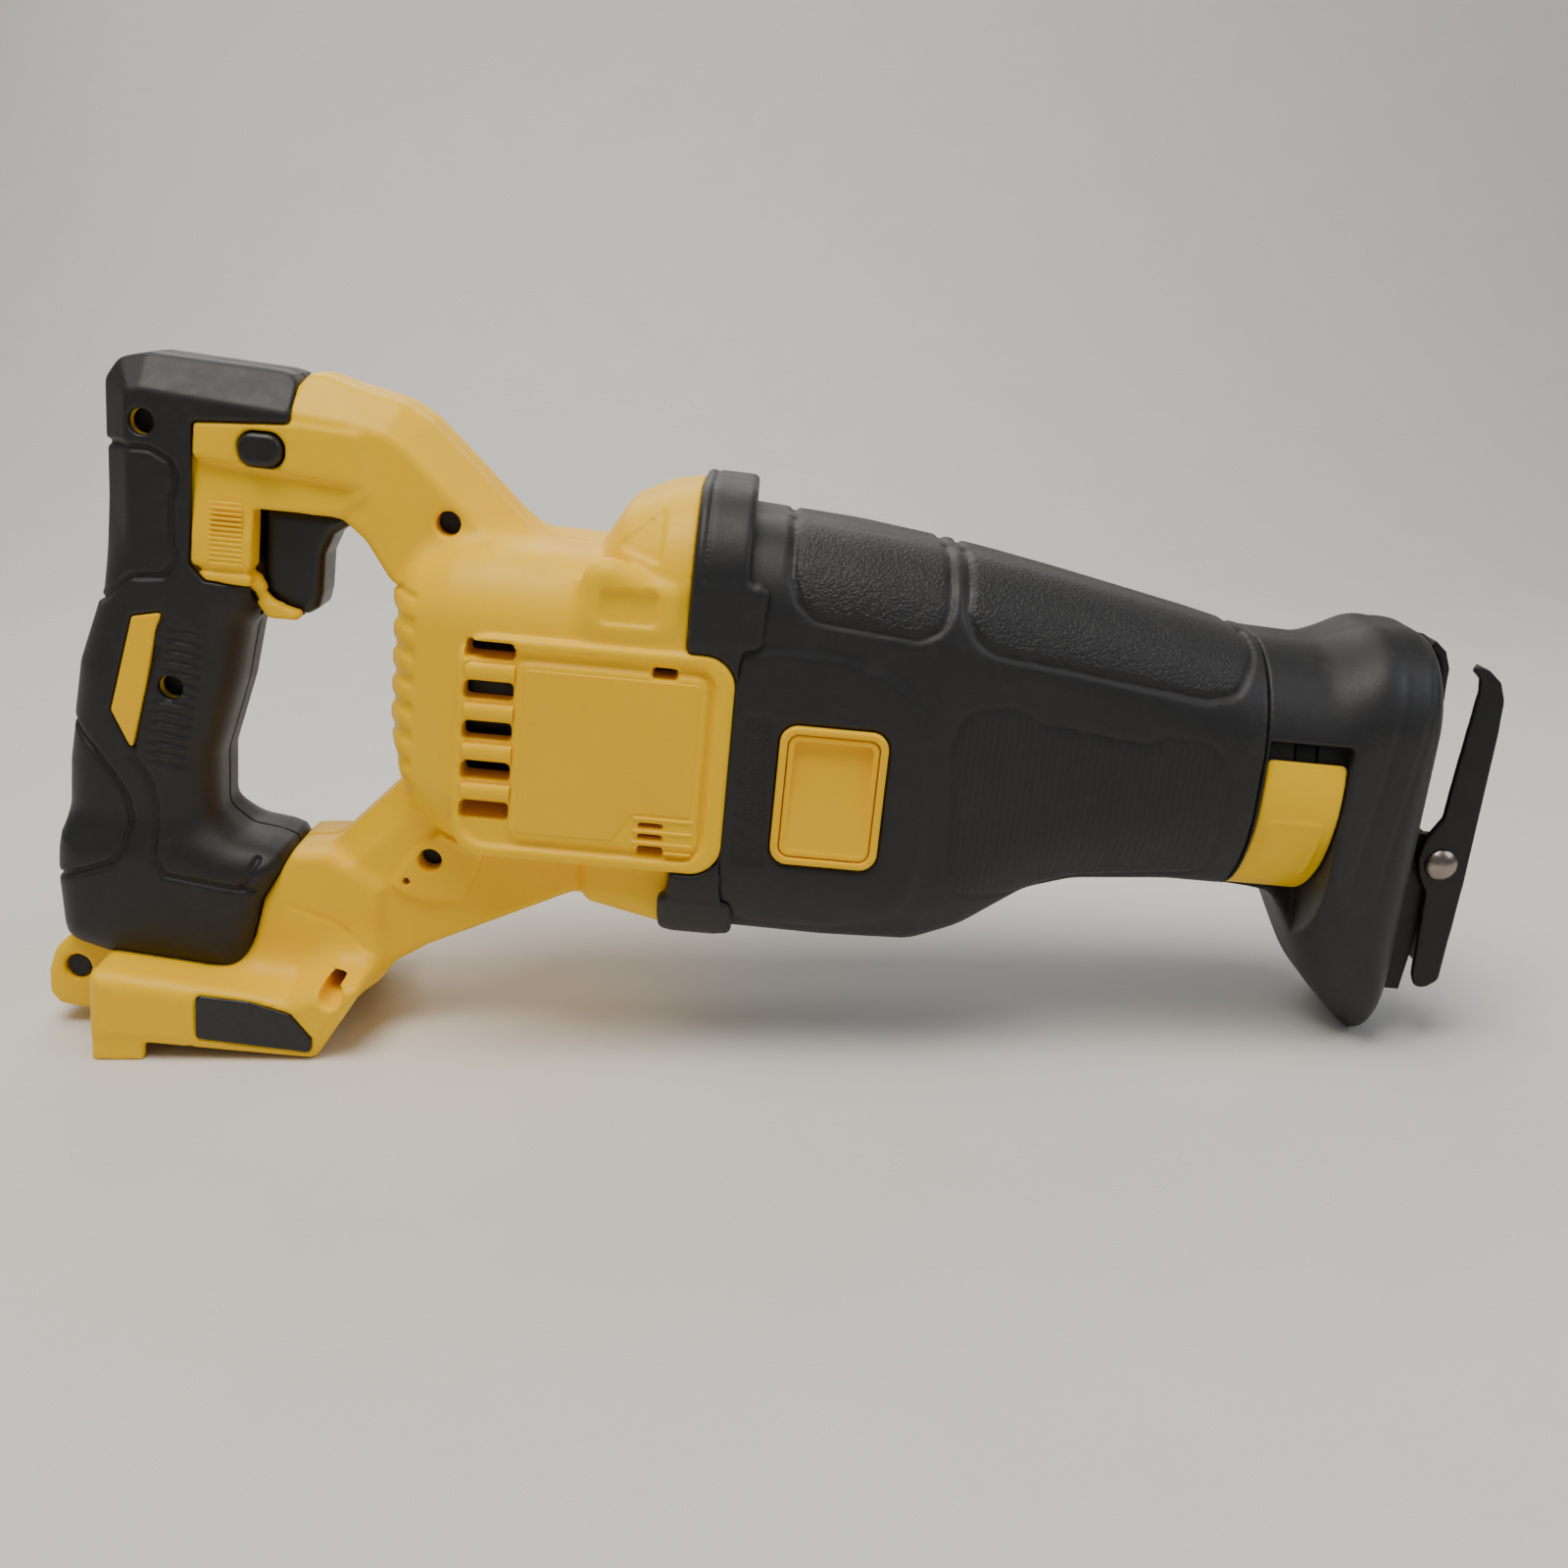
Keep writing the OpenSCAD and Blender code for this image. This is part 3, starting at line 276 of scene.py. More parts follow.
def loft(x: Array, y: Array, z: Array, rows: Sequence[Station], blur: float = 4.0) -> Array:
    """Field of an endless body whose rounded section follows the stations.

    Args:
        x: Places along the stroke.
        y: Distances from the middle plane.
        z: Heights.
        rows: Stations in order of x.
        blur: Length over which the change from one run to the next is eased.

    Returns:
        The field, negative inside.
    """
    line = np.arange(rows[0].x - 20.0, rows[-1].x + 20.0, 0.5)
    window = np.hanning(2 * int(2 * blur) + 3)
    window /= window.sum()
    pad = len(window) // 2

    def level(name: str) -> Array:
        """One size of the section at each x, eased from station to station."""
        values = np.interp(line, [row.x for row in rows], [getattr(row, name) for row in rows])
        return np.interp(x, line, np.convolve(np.pad(values, pad, mode="edge"), window, mode="valid"))

    half, low, high, corner = level("half"), level("low"), level("high"), level("corner")
    qy = np.abs(y) - half + corner
    qz = np.abs(z - 0.5 * (low + high)) - 0.5 * (high - low) + corner
    return np.hypot(np.maximum(qy, 0.0), np.maximum(qz, 0.0)) + np.minimum(np.maximum(qy, qz), 0.0) - corner


# ---------------------------------------------------------------- meshing

@dataclass(frozen=True)
class Block:
    """Box of sample points in the tool's own axes, with their spacing."""

    low: Triple
    high: Triple
    step: float = 0.8

    def axes(self) -> list[Array]:
        """Sample places along each axis, with room past both ends.

        Returns:
            Sample places along x, y and z.
        """
        return [
            np.arange(a - 2.13 * self.step, b + 3.0 * self.step, self.step, dtype=np.float32)
            for a, b in zip(self.low, self.high)
        ]

    def grid(self) -> tuple[Array, Array, Array]:
        """The three coordinates, shaped so that they broadcast to the whole block."""
        x, y, z = self.axes()
        return x[:, None, None], y[None, :, None], z[None, None, :]


def net(block: Block, values: Array) -> tuple[Array, Array]:
    """Mesh of the surface where a sampled field crosses zero.

    Each cell that the surface passes through gets one point, at the middle of its crossings,
    and each crossed edge joins the four cells round it with one face.

    Args:
        block: Where the samples lie.
        values: The sampled field.

    Returns:
        Points in the tool's axes, and the four corners of each face.
    """
    values = np.ascontiguousarray(np.broadcast_to(values, [len(a) for a in block.axes()]))
    cells = np.array(values.shape) - 1
    spots, rings = [], []
    for axis in range(3):
        low = [slice(None)] * 3
        high = [slice(None)] * 3
        low[axis], high[axis] = slice(0, -1), slice(1, None)
        before, after = values[tuple(low)], values[tuple(high)]
        second, third = (axis + 1) % 3, (axis + 2) % 3
        edge = np.argwhere((before < 0.0) != (after < 0.0))
        inner = (edge[:, second] > 0) & (edge[:, third] > 0)
        inner &= (edge[:, second] < cells[second]) & (edge[:, third] < cells[third])
        edge = edge[inner]
        start, end = before[tuple(edge.T)], after[tuple(edge.T)]
        spot = edge.astype(float)
        spot[:, axis] += start / (start - end)
        ring = np.empty((len(edge), 4), np.int64)
        for corner, (u, v) in enumerate(((0, 0), (1, 0), (1, 1), (0, 1))):
            cell = edge.copy()
            cell[:, second] -= u
            cell[:, third] -= v
            ring[:, corner] = np.ravel_multi_index(cell.T, cells)
        ring[start >= 0.0] = ring[start >= 0.0][:, ::-1]
        spots.append(spot)
        rings.append(ring)
    spot, ring = np.concatenate(spots), np.concatenate(rings)
    _, index = np.unique(ring.ravel(), return_inverse=True)
    count = np.bincount(index)
    points = np.stack([np.bincount(index, np.repeat(spot[:, k], 4)) / count for k in range(3)], axis=1)
    return np.array([a[0] for a in block.axes()]) + points * block.step, index.reshape(-1, 4)


def mesh_from(name: str, points: Array, faces: Array) -> bpy.types.Mesh:
    """Mesh in the frame's metres from points in the tool's axes.

    Args:
        name: Name of the mesh.
        points: Points in the tool's axes.
        faces: Corners of each face, as numbers of points.

    Returns:
        The mesh.
    """
    mesh = bpy.data.meshes.new(name)
    mesh.from_pydata(points.tolist(), [], faces.tolist())
    mesh.transform(TOOL)
    mesh.validate()
    return mesh


# ---------------------------------------------------------------- finishes

def linear(colour: str) -> tuple[float, float, float, float]:
    """Linear colour from an sRGB hex value such as #808080."""
    parts = [int(colour[i:i + 2], 16) / 255.0 for i in (1, 3, 5)]
    return (*[p / 12.92 if p <= 0.04045 else ((p + 0.055) / 1.055) ** 2.4 for p in parts], 1.0)


def add_node(tree: bpy.types.NodeTree, kind: str, inputs: dict | None = None, **settings) -> bpy.types.Node:
    """Add one node with its settings and links.

    Args:
        tree: Tree that gets the node.
        kind: Node type.
        inputs: Input name or number, and the socket or the constant that it takes.
        settings: Attributes of the node.

    Returns:
        The new node.
    """
    made = tree.nodes.new(kind)
    for key, value in settings.items():
        setattr(made, key, value)
    for key, value in (inputs or {}).items():
        if isinstance(value, bpy.types.NodeSocket):
            tree.links.new(value, made.inputs[key])
        else:
            made.inputs[key].default_value = value
    return made


@dataclass(frozen=True)
class Finish:
    """Finish of a piece; each kind says how its own nodes are wired."""

    name: str

    def material(self) -> bpy.types.Material:
        """The material, made once and shared.

        Returns:
            The material of this name.
        """
        if self.name in bpy.data.materials:
            return bpy.data.materials[self.name]
        made = bpy.data.materials.new(self.name)
        made.use_nodes = True
        tree = made.node_tree
        place = add_node(tree, "ShaderNodeTexCoord").outputs["Object"]
        self.wire(tree, tree.nodes["Principled BSDF"], place)
        return made

    def wire(self, tree: bpy.types.NodeTree, shader: bpy.types.Node, place: bpy.types.NodeSocket) -> None:
        """Wire the nodes of this kind of finish to the shader."""
        raise NotImplementedError(self.name)


@dataclass(frozen=True)
class Moulded(Finish):
    """Moulded plastic or rubber, dyed through, with the grain of its mould and signs of handling."""

    colour: str
    shade: str
    scuff: str
    roughness: float
    grain_mm: float
    grain_depth_mm: float
    scuffing: float = 0.15
    specular: float = 0.5
    sheen: float = 0.0
    patterned: bool = False
    stipple_mm: float = 0.9
    stipple_depth_mm: float = 0.17
    rib_pitch_mm: float = 1.9
    rib_depth_mm: float = 0.2

    def wire(self, tree: bpy.types.NodeTree, shader: bpy.types.Node, place: bpy.types.NodeSocket) -> None:
        """Dye, scuffs, gloss, grain and, where it is patterned, pebbling and ribs.

        Args:
            tree: Tree that gets the nodes.
            shader: The shader to feed.
            place: Object coordinates.
        """
        # soft drift of the dye over about 40 mm
        drift = add_node(tree, "ShaderNodeTexNoise", {"Vector": place, "Scale": 25.0, "Detail": 3.0})
        tint = add_node(tree, "ShaderNodeMix", {0: drift.outputs["Fac"], 6: linear(self.colour),
                                                7: linear(self.shade)}, data_type="RGBA")
        # rubbed and dusty marks, broken up at about 9 mm
        marks = add_node(tree, "ShaderNodeTexNoise", {"Vector": place, "Scale": 110.0, "Detail": 9.0,
                                                      "Roughness": 0.72})
        worn = add_node(tree, "ShaderNodeMapRange", {"Value": marks.outputs["Fac"], "From Min": 0.52,
                                                     "From Max": 0.78, "To Min": 0.0,
                                                     "To Max": self.scuffing})
        paint = add_node(tree, "ShaderNodeMix", {0: worn.outputs["Result"], 6: tint.outputs[2],
                                                 7: linear(self.scuff)}, data_type="RGBA")
        tree.links.new(paint.outputs[2], shader.inputs["Base Color"])
        gloss = add_node(tree, "ShaderNodeMapRange", {"Value": marks.outputs["Fac"], "From Min": 0.3,
                                                      "From Max": 0.7, "To Min": self.roughness - 0.05,
                                                      "To Max": self.roughness + 0.09})
        tree.links.new(gloss.outputs["Result"], shader.inputs["Roughness"])
        grain = add_node(tree, "ShaderNodeTexNoise", {"Vector": place, "Scale": 1.0 / (self.grain_mm * MM),
                                                      "Detail": 2.0})
        bump = add_node(tree, "ShaderNodeBump", {"Height": grain.outputs["Fac"], "Strength": 1.0,
                                                 "Distance": self.grain_depth_mm * MM})
        if self.patterned:
            bump = self.pattern(tree, place, bump)
        tree.links.new(bump.outputs["Normal"], shader.inputs["Normal"])
        shader.inputs["Specular IOR Level"].default_value = self.specular
        shader.inputs["Sheen Weight"].default_value = self.sheen
        shader.inputs["IOR"].default_value = 1.5

    def pattern(self, tree: bpy.types.NodeTree, place: bpy.types.NodeSocket,
                under: bpy.types.Node) -> bpy.types.Node:
        """Grip pebbling and fine upright ribs, where the piece's own attributes ask for them.

        Args:
            tree: Tree that gets the nodes.
            place: Object coordinates.
            under: Bump that the pattern lies on.

        Returns:
            Bump that holds the pattern and what lies under it.
        """
        pebble = add_node(tree, "ShaderNodeTexNoise", {"Vector": place, "Scale": 1.0 / (self.stipple_mm * MM),
                                                       "Detail": 1.0})
        firm = add_node(tree, "ShaderNodeMapRange", {"Value": pebble.outputs["Fac"], "From Min": 0.38,
                                                     "From Max": 0.62})
        where = add_node(tree, "ShaderNodeAttribute", attribute_name="stipple")
        pebbled = add_node(tree, "ShaderNodeMath", {0: firm.outputs["Result"], 1: where.outputs["Fac"]},
                           operation="MULTIPLY")
        first = add_node(tree, "ShaderNodeBump", {"Height": pebbled.outputs[0], "Strength": 1.0,
                                                  "Distance": self.stipple_depth_mm * MM,
                                                  "Normal": under.outputs["Normal"]})
        # the tool leans forward, and the ribs stand upright to its own axes
        lean = math.asin(-TOOL[2][0] / MM)
        level = add_node(tree, "ShaderNodeMapping", {"Vector": place, "Rotation": (0.0, -lean, 0.0)})
        parts = add_node(tree, "ShaderNodeSeparateXYZ", {"Vector": level.outputs[0]})
        per_metre = 2.0 * math.pi / (self.rib_pitch_mm * MM)
        turns = add_node(tree, "ShaderNodeMath", {0: parts.outputs["X"], 1: per_metre}, operation="MULTIPLY")
        wave = add_node(tree, "ShaderNodeMath", {0: turns.outputs[0]}, operation="SINE")
        ribs = add_node(tree, "ShaderNodeAttribute", attribute_name="ribs")
        ribbed = add_node(tree, "ShaderNodeMath", {0: wave.outputs[0], 1: ribs.outputs["Fac"]},
                          operation="MULTIPLY")
        return add_node(tree, "ShaderNodeBump", {"Height": ribbed.outputs[0], "Strength": 1.0,
                                                 "Distance": 0.5 * self.rib_depth_mm * MM,
                                                 "Normal": first.outputs["Normal"]})


@dataclass(frozen=True)
class Metal(Finish):
    """Bare or blackened metal with the marks of how it was cut, stamped or cast."""

    colour: str
    shade: str
    roughness: float
    metallic: float = 1.0
    streak_mm: Triple = (1.0, 1.0, 1.0)
    depth_mm: float = 0.02

    def wire(self, tree: bpy.types.NodeTree, shader: bpy.types.Node, place: bpy.types.NodeSocket) -> None:
        """Streaks left by the tool or the mould, and a faint cloud of stain.

        Args:
            tree: Tree that gets the nodes.
            shader: The shader to feed.
            place: Object coordinates.
        """
        stretch = add_node(tree, "ShaderNodeMapping", {"Vector": place,
                                                       "Scale": [1.0 / (s * MM) for s in self.streak_mm]})
        streak = add_node(tree, "ShaderNodeTexNoise", {"Vector": stretch.outputs[0], "Scale": 1.0,
                                                       "Detail": 4.0, "Roughness": 0.6})
        cloud = add_node(tree, "ShaderNodeTexNoise", {"Vector": place, "Scale": 90.0, "Detail": 5.0})
        tint = add_node(tree, "ShaderNodeMix", {0: cloud.outputs["Fac"], 6: linear(self.colour),
                                                7: linear(self.shade)}, data_type="RGBA")
        gloss = add_node(tree, "ShaderNodeMapRange", {"Value": streak.outputs["Fac"], "From Min": 0.3,
                                                      "From Max": 0.7,
                                                      "To Min": max(self.roughness - 0.07, 0.05),
                                                      "To Max": self.roughness + 0.09})
        bump = add_node(tree, "ShaderNodeBump", {"Height": streak.outputs["Fac"], "Strength": 1.0,
                                                 "Distance": self.depth_mm * MM})
        tree.links.new(tint.outputs[2], shader.inputs["Base Color"])
        tree.links.new(gloss.outputs["Result"], shader.inputs["Roughness"])
        tree.links.new(bump.outputs["Normal"], shader.inputs["Normal"])
        shader.inputs["Metallic"].default_value = self.metallic


@dataclass(frozen=True)
class Lens(Finish):
    """Clear moulded polycarbonate with a faint swirl from the mould."""

    tint: str
    roughness: float = 0.08

    def wire(self, tree: bpy.types.NodeTree, shader: bpy.types.Node, place: bpy.types.NodeSocket) -> None:
        """Faint swirl in a clear body.

        Args:
            tree: Tree that gets the nodes.
            shader: The shader to feed.
            place: Object coordinates.
        """
        swirl = add_node(tree, "ShaderNodeTexNoise", {"Vector": place, "Scale": 300.0, "Detail": 2.0})
        gloss = add_node(tree, "ShaderNodeMapRange", {"Value": swirl.outputs["Fac"], "To Min": self.roughness,
                                                      "To Max": self.roughness + 0.06})
        tree.links.new(gloss.outputs["Result"], shader.inputs["Roughness"])
        shader.inputs["Base Color"].default_value = linear(self.tint)
        shader.inputs["Transmission Weight"].default_value = 0.85
        shader.inputs["IOR"].default_value = 1.58


# glass-filled nylon in a spark-eroded mould: satin, with a fine even grain and scattered rubbed marks
YELLOW = Moulded("glass_filled_nylon_yellow", "#FFCE00", "#FCC300", "#D69A0C", 0.42, 0.7, 0.035,
                 scuffing=0.08, specular=0.28)
# the same nylon where a smooth insert in the mould leaves it a touch glossier
YELLOW_SMOOTH = Moulded("smooth_nylon_yellow", "#FFC800", "#F8BC00", "#D69A0C", 0.34, 0.9, 0.02,
                        scuffing=0.07, specular=0.3)
# thermoplastic rubber: soft broad highlights, pale dust caught in its surface
RUBBER = Moulded("moulded_rubber_black", "#131416", "#19191B", "#4E4C49", 0.50, 0.8, 0.05,
                 scuffing=0.20, specular=0.45, sheen=0.04, patterned=True)
# glass-filled nylon dyed black: a little shinier than the rubber
BLACK_PLASTIC = Moulded("nylon_black", "#131416", "#1A1B1D", "#3A3938", 0.38, 0.6, 0.03, scuffing=0.12)
# polished polycarbonate badge, left bare
BADGE = Moulded("smooth_badge_black", "#151618", "#1B1C1E", "#35353A", 0.24, 1.2, 0.01, scuffing=0.06)
# blackened pressed steel: dark oxide with a dull sheen
BLACK_STEEL = Metal("blackened_steel", "#1C1D1F", "#2A2A2B", 0.42, metallic=0.55, streak_mm=(2.0, 2.0, 0.8))
# bare steel turned or ground along the stroke
GROUND_STEEL = Metal("ground_steel", "#B4B6B8", "#989A9D", 0.26, streak_mm=(6.0, 0.5, 0.5))
# rivet head peened bright and slightly stained
RIVET_STEEL = Metal("peened_steel", "#A89E95", "#7C7069", 0.28, streak_mm=(1.2, 1.2, 1.2), depth_mm=0.04)
# stacked laminations show as fine rings across the motor
LAMINATED_STEEL = Metal("laminated_steel", "#6C6E72", "#505256", 0.45, streak_mm=(0.8, 8.0, 8.0),
                        depth_mm=0.06)
# enamelled copper: warm and glossy
COPPER = Metal("enamelled_copper", "#B5652F", "#8E4A20", 0.3, streak_mm=(5.0, 0.9, 0.9), depth_mm=0.1)
# bright yellow brass with fine turning marks
BRASS = Metal("turned_brass", "#C9A24C", "#A9843A", 0.3, streak_mm=(4.0, 0.6, 0.6))
# die-cast aluminium under a thin dark coat
CAST = Metal("coated_die_casting", "#2C2D2F", "#38393B", 0.5, metallic=0.4, streak_mm=(1.5, 1.5, 1.5),
             depth_mm=0.08)
# the same casting left bare: pale grey and grainy
ALUMINIUM = Metal("die_cast_aluminium", "#B9BCC0", "#9A9DA1", 0.42, streak_mm=(1.5, 1.5, 1.5), depth_mm=0.06)
# backdrop paper: dull, pale and faintly mottled
PAPER = Moulded("matt_paper", "#E2E0DB", "#DCDAD5", "#C9C7C2", 0.8, 2.0, 0.02, scuffing=0.05, specular=0.2)
# clear moulded polycarbonate over the lamp
CLEAR = Lens("clear_polycarbonate", "#E8EEF2")


def dress(finish: Finish, *nodes: str) -> None:
    """Give CAD nodes that keep their shape a finish.

    Args:
        finish: Finish that the nodes get.
        nodes: Names of the CAD nodes.
    """
    for name in nodes:
        solid = frame["nodes"][name]
        if not solid.material_slots:
            solid.data.materials.append(None)
        for held in solid.material_slots:
            held.material = finish.material()
        LOG.info("dressed %s in %s", name, finish.name)


def add_piece(name: str, mesh: bpy.types.Mesh, finish: Finish, body: str,
              stands_for: Sequence[str] = ()) -> bpy.types.Object:
    """Make a finished mesh a piece of the saw.

    Args:
        name: Name of the piece.
        mesh: Its mesh, in the frame's metres.
        finish: Its finish.
        body: Body that it rides on.
        stands_for: CAD nodes that it replaces.

    Returns:
        The piece.
    """
    piece = bpy.data.objects.new(name, mesh)
    bpy.context.scene.collection.objects.link(piece)
    mesh.materials.clear()
    mesh.materials.append(finish.material())
    mesh.polygons.foreach_set("use_smooth", [True] * len(mesh.polygons))
    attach(piece, body)
    if stands_for:
        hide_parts(*stands_for)
    LOG.info("built %s: %d faces on %s", name, len(mesh.polygons), body)
    return piece


def holder_of(mesh: bpy.types.Mesh) -> bpy.types.Object:
    """Object that carries a mesh in the scene while a modifier works on it.

    Args:
        mesh: Mesh to carry.

    Returns:
        The object.
    """
    holder = bpy.data.objects.new(mesh.name + "_holder", mesh)
    bpy.context.scene.collection.objects.link(holder)
    return holder


def baked(holder: bpy.types.Object) -> bpy.types.Mesh:
    """Plain mesh of what the modifiers of a holder make; the holder is removed.

    Args:
        holder: Object with its modifiers.

    Returns:
        The mesh.
    """
    graph = bpy.context.evaluated_depsgraph_get()
    mesh = bpy.data.meshes.new_from_object(holder.evaluated_get(graph))
    holder.modifiers.clear()
    bpy.data.objects.remove(holder)
    return mesh


def thinned(mesh: bpy.types.Mesh) -> bpy.types.Mesh:
    """Mesh with fewer faces where it is flat, once it passes the limit for one piece.

    Args:
        mesh: Mesh that may be too heavy.

    Returns:
        The same mesh, or a lighter copy.
    """
    triangles = sum(len(face.vertices) - 2 for face in mesh.polygons)
    if triangles <= PIECE_TRIANGLES:
        return mesh
    holder = holder_of(mesh)
    holder.modifiers.new("thin", "DECIMATE").ratio = PIECE_TRIANGLES / triangles
    return baked(holder)


def moulding(name: str, block: Block, values: Array, finish: Finish, body: str,
             stands_for: Sequence[str] = (), side: Side = Side.LEFT) -> bpy.types.Object:
    """Mesh a sampled field and make it a piece; on the right side it is mirrored first.

    Args:
        name: Name of the piece.
        block: Where the samples lie.
        values: The sampled field.
        finish: Its finish.
        body: Body that it rides on.
        stands_for: CAD nodes that it replaces.
        side: Side of the saw that it is for.

    Returns:
        The piece.
    """
    points, faces = net(block, values)
    if side is Side.RIGHT:
        points[:, 1] *= -1.0
        faces = faces[:, ::-1]
    return add_piece(name, thinned(mesh_from(name, points, faces)), finish, body, stands_for)


def paint(piece: bpy.types.Object, name: str, values: Array) -> None:
    """Store a value between 0 and 1 on each point of a piece."""
    held = piece.data.attributes.new(name, "FLOAT", "POINT")
    held.data.foreach_set("value", np.asarray(values, np.float32))


def tool_points(piece: bpy.types.Object) -> Array:
    """A piece's points in the tool's own axes, in millimetres.

    Args:
        piece: The piece.

    Returns:
        One row of x, y and z for each point.
    """
    points = np.empty(3 * len(piece.data.vertices), np.float32)
    piece.data.vertices.foreach_get("co", points)
    back = np.array(TOOL.inverted())
    return points.reshape(-1, 3) @ back[:3, :3].T + back[:3, 3]


# ---------------------------------------------------------------- repeated details

class Repeat(Enum):
    """What stands at each point of a repeated detail."""

    BAR = "bar"
    SCREW = "screw"


@dataclass(frozen=True)
class Pattern:
    """Detail repeated along a line or at chosen points by Geometry Nodes."""

    kind: Repeat
    length: float
    width: float
    depth: float

    def tree(self) -> bpy.types.NodeTree:
        """Node tree with named inputs for the sizes of the detail and for its material.

        Returns:
            The tree, made once for each kind of detail.
        """
        name = "repeat_" + self.kind.value
        if name in bpy.data.node_groups:
            return bpy.data.node_groups[name]
        tree = bpy.data.node_groups.new(name, "GeometryNodeTree")
        tree.interface.new_socket("Geometry", in_out="INPUT", socket_type="NodeSocketGeometry")
        for label in ("Length", "Width", "Depth"):
            tree.interface.new_socket(label, in_out="INPUT", socket_type="NodeSocketFloat")
        tree.interface.new_socket("Material", in_out="INPUT", socket_type="NodeSocketMaterial")
        tree.interface.new_socket("Geometry", in_out="OUTPUT", socket_type="NodeSocketGeometry")
        given = add_node(tree, "NodeGroupInput")
        unit = self.bar(tree, given) if self.kind is Repeat.BAR else self.screw(tree, given)
        placed = add_node(tree, "GeometryNodeInstanceOnPoints", {"Points": given.outputs["Geometry"],
                                                                 "Instance": unit})
        solid = add_node(tree, "GeometryNodeRealizeInstances", {"Geometry": placed.outputs[0]})
        dressed = add_node(tree, "GeometryNodeSetMaterial", {"Geometry": solid.outputs[0],
                                                             "Material": given.outputs["Material"]})
        add_node(tree, "NodeGroupOutput", {"Geometry": dressed.outputs[0]})
        return tree

    def bar(self, tree: bpy.types.NodeTree, given: bpy.types.Node) -> bpy.types.NodeSocket:
        """Rounded bar along X, flattened to its width and depth.

        Args:
            tree: Tree that gets the nodes.
            given: Group input of the tree.

        Returns:
            Socket with the bar.
        """
        half = add_node(tree, "ShaderNodeMath", {0: given.outputs["Length"], 1: 0.5}, operation="MULTIPLY")
        start = add_node(tree, "ShaderNodeCombineXYZ", {"X": half.outputs[0]})
        other = add_node(tree, "ShaderNodeMath", {0: half.outputs[0], 1: -1.0}, operation="MULTIPLY")
        end = add_node(tree, "ShaderNodeCombineXYZ", {"X": other.outputs[0]})
        line = add_node(tree, "GeometryNodeCurvePrimitiveLine", {"Start": start.outputs[0],
                                                                 "End": end.outputs[0]})
        ring = add_node(tree, "GeometryNodeCurvePrimitiveCircle", {"Resolution": 14, "Radius": 0.5})
        tube = add_node(tree, "GeometryNodeCurveToMesh", {"Curve": line.outputs[0],
                                                          "Profile Curve": ring.outputs[0],
                                                          "Fill Caps": True})
        size = add_node(tree, "ShaderNodeCombineXYZ", {"X": 1.0, "Y": given.outputs["Depth"],
                                                       "Z": given.outputs["Width"]})
        return add_node(tree, "GeometryNodeTransform", {"Geometry": tube.outputs[0],
                                                        "Scale": size.outputs[0]}).outputs[0]

    def screw(self, tree: bpy.types.NodeTree, given: bpy.types.Node) -> bpy.types.NodeSocket:
        """Socket screw that looks out along -Y: head, six-sided socket and shank.

        Args:
            tree: Tree that gets the nodes.
            given: Group input of the tree.

        Returns:
            Socket with the screw.
        """
        radius = add_node(tree, "ShaderNodeMath", {0: given.outputs["Width"], 1: 0.5}, operation="MULTIPLY")
        head = add_node(tree, "GeometryNodeMeshCylinder", {"Vertices": 40, "Radius": radius.outputs[0],
                                                           "Depth": given.outputs["Depth"]})
        key = add_node(tree, "ShaderNodeMath", {0: given.outputs["Width"], 1: 0.25}, operation="MULTIPLY")
        socket = add_node(tree, "GeometryNodeMeshCylinder", {"Vertices": 6, "Radius": key.outputs[0],
                                                             "Depth": given.outputs["Depth"]})
        lift = add_node(tree, "ShaderNodeCombineXYZ", {"Z": radius.outputs[0]})
        above = add_node(tree, "GeometryNodeTransform", {"Geometry": socket.outputs[0],
                                                         "Translation": lift.outputs[0]})
        solids = {"Mesh 1": head.outputs[0], "Mesh 2": above.outputs[0]}
        hollow = add_node(tree, "GeometryNodeMeshBoolean", solids, operation="DIFFERENCE")
        stem = add_node(tree, "GeometryNodeMeshCylinder", {"Vertices": 24, "Radius": key.outputs[0],
                                                           "Depth": given.outputs["Length"]})
        middle = add_node(tree, "ShaderNodeMath", {0: given.outputs["Length"], 1: -0.5}, operation="MULTIPLY")
        drop = add_node(tree, "ShaderNodeCombineXYZ", {"Z": middle.outputs[0]})
        below = add_node(tree, "GeometryNodeTransform", {"Geometry": stem.outputs[0],
                                                         "Translation": drop.outputs[0]})
        whole = add_node(tree, "GeometryNodeJoinGeometry", {0: hollow.outputs[0]})
        tree.links.new(below.outputs[0], whole.inputs[0])
        return add_node(tree, "GeometryNodeTransform", {"Geometry": whole.outputs[0],
                                                        "Rotation": (math.pi / 2, 0.0, 0.0)}).outputs[0]

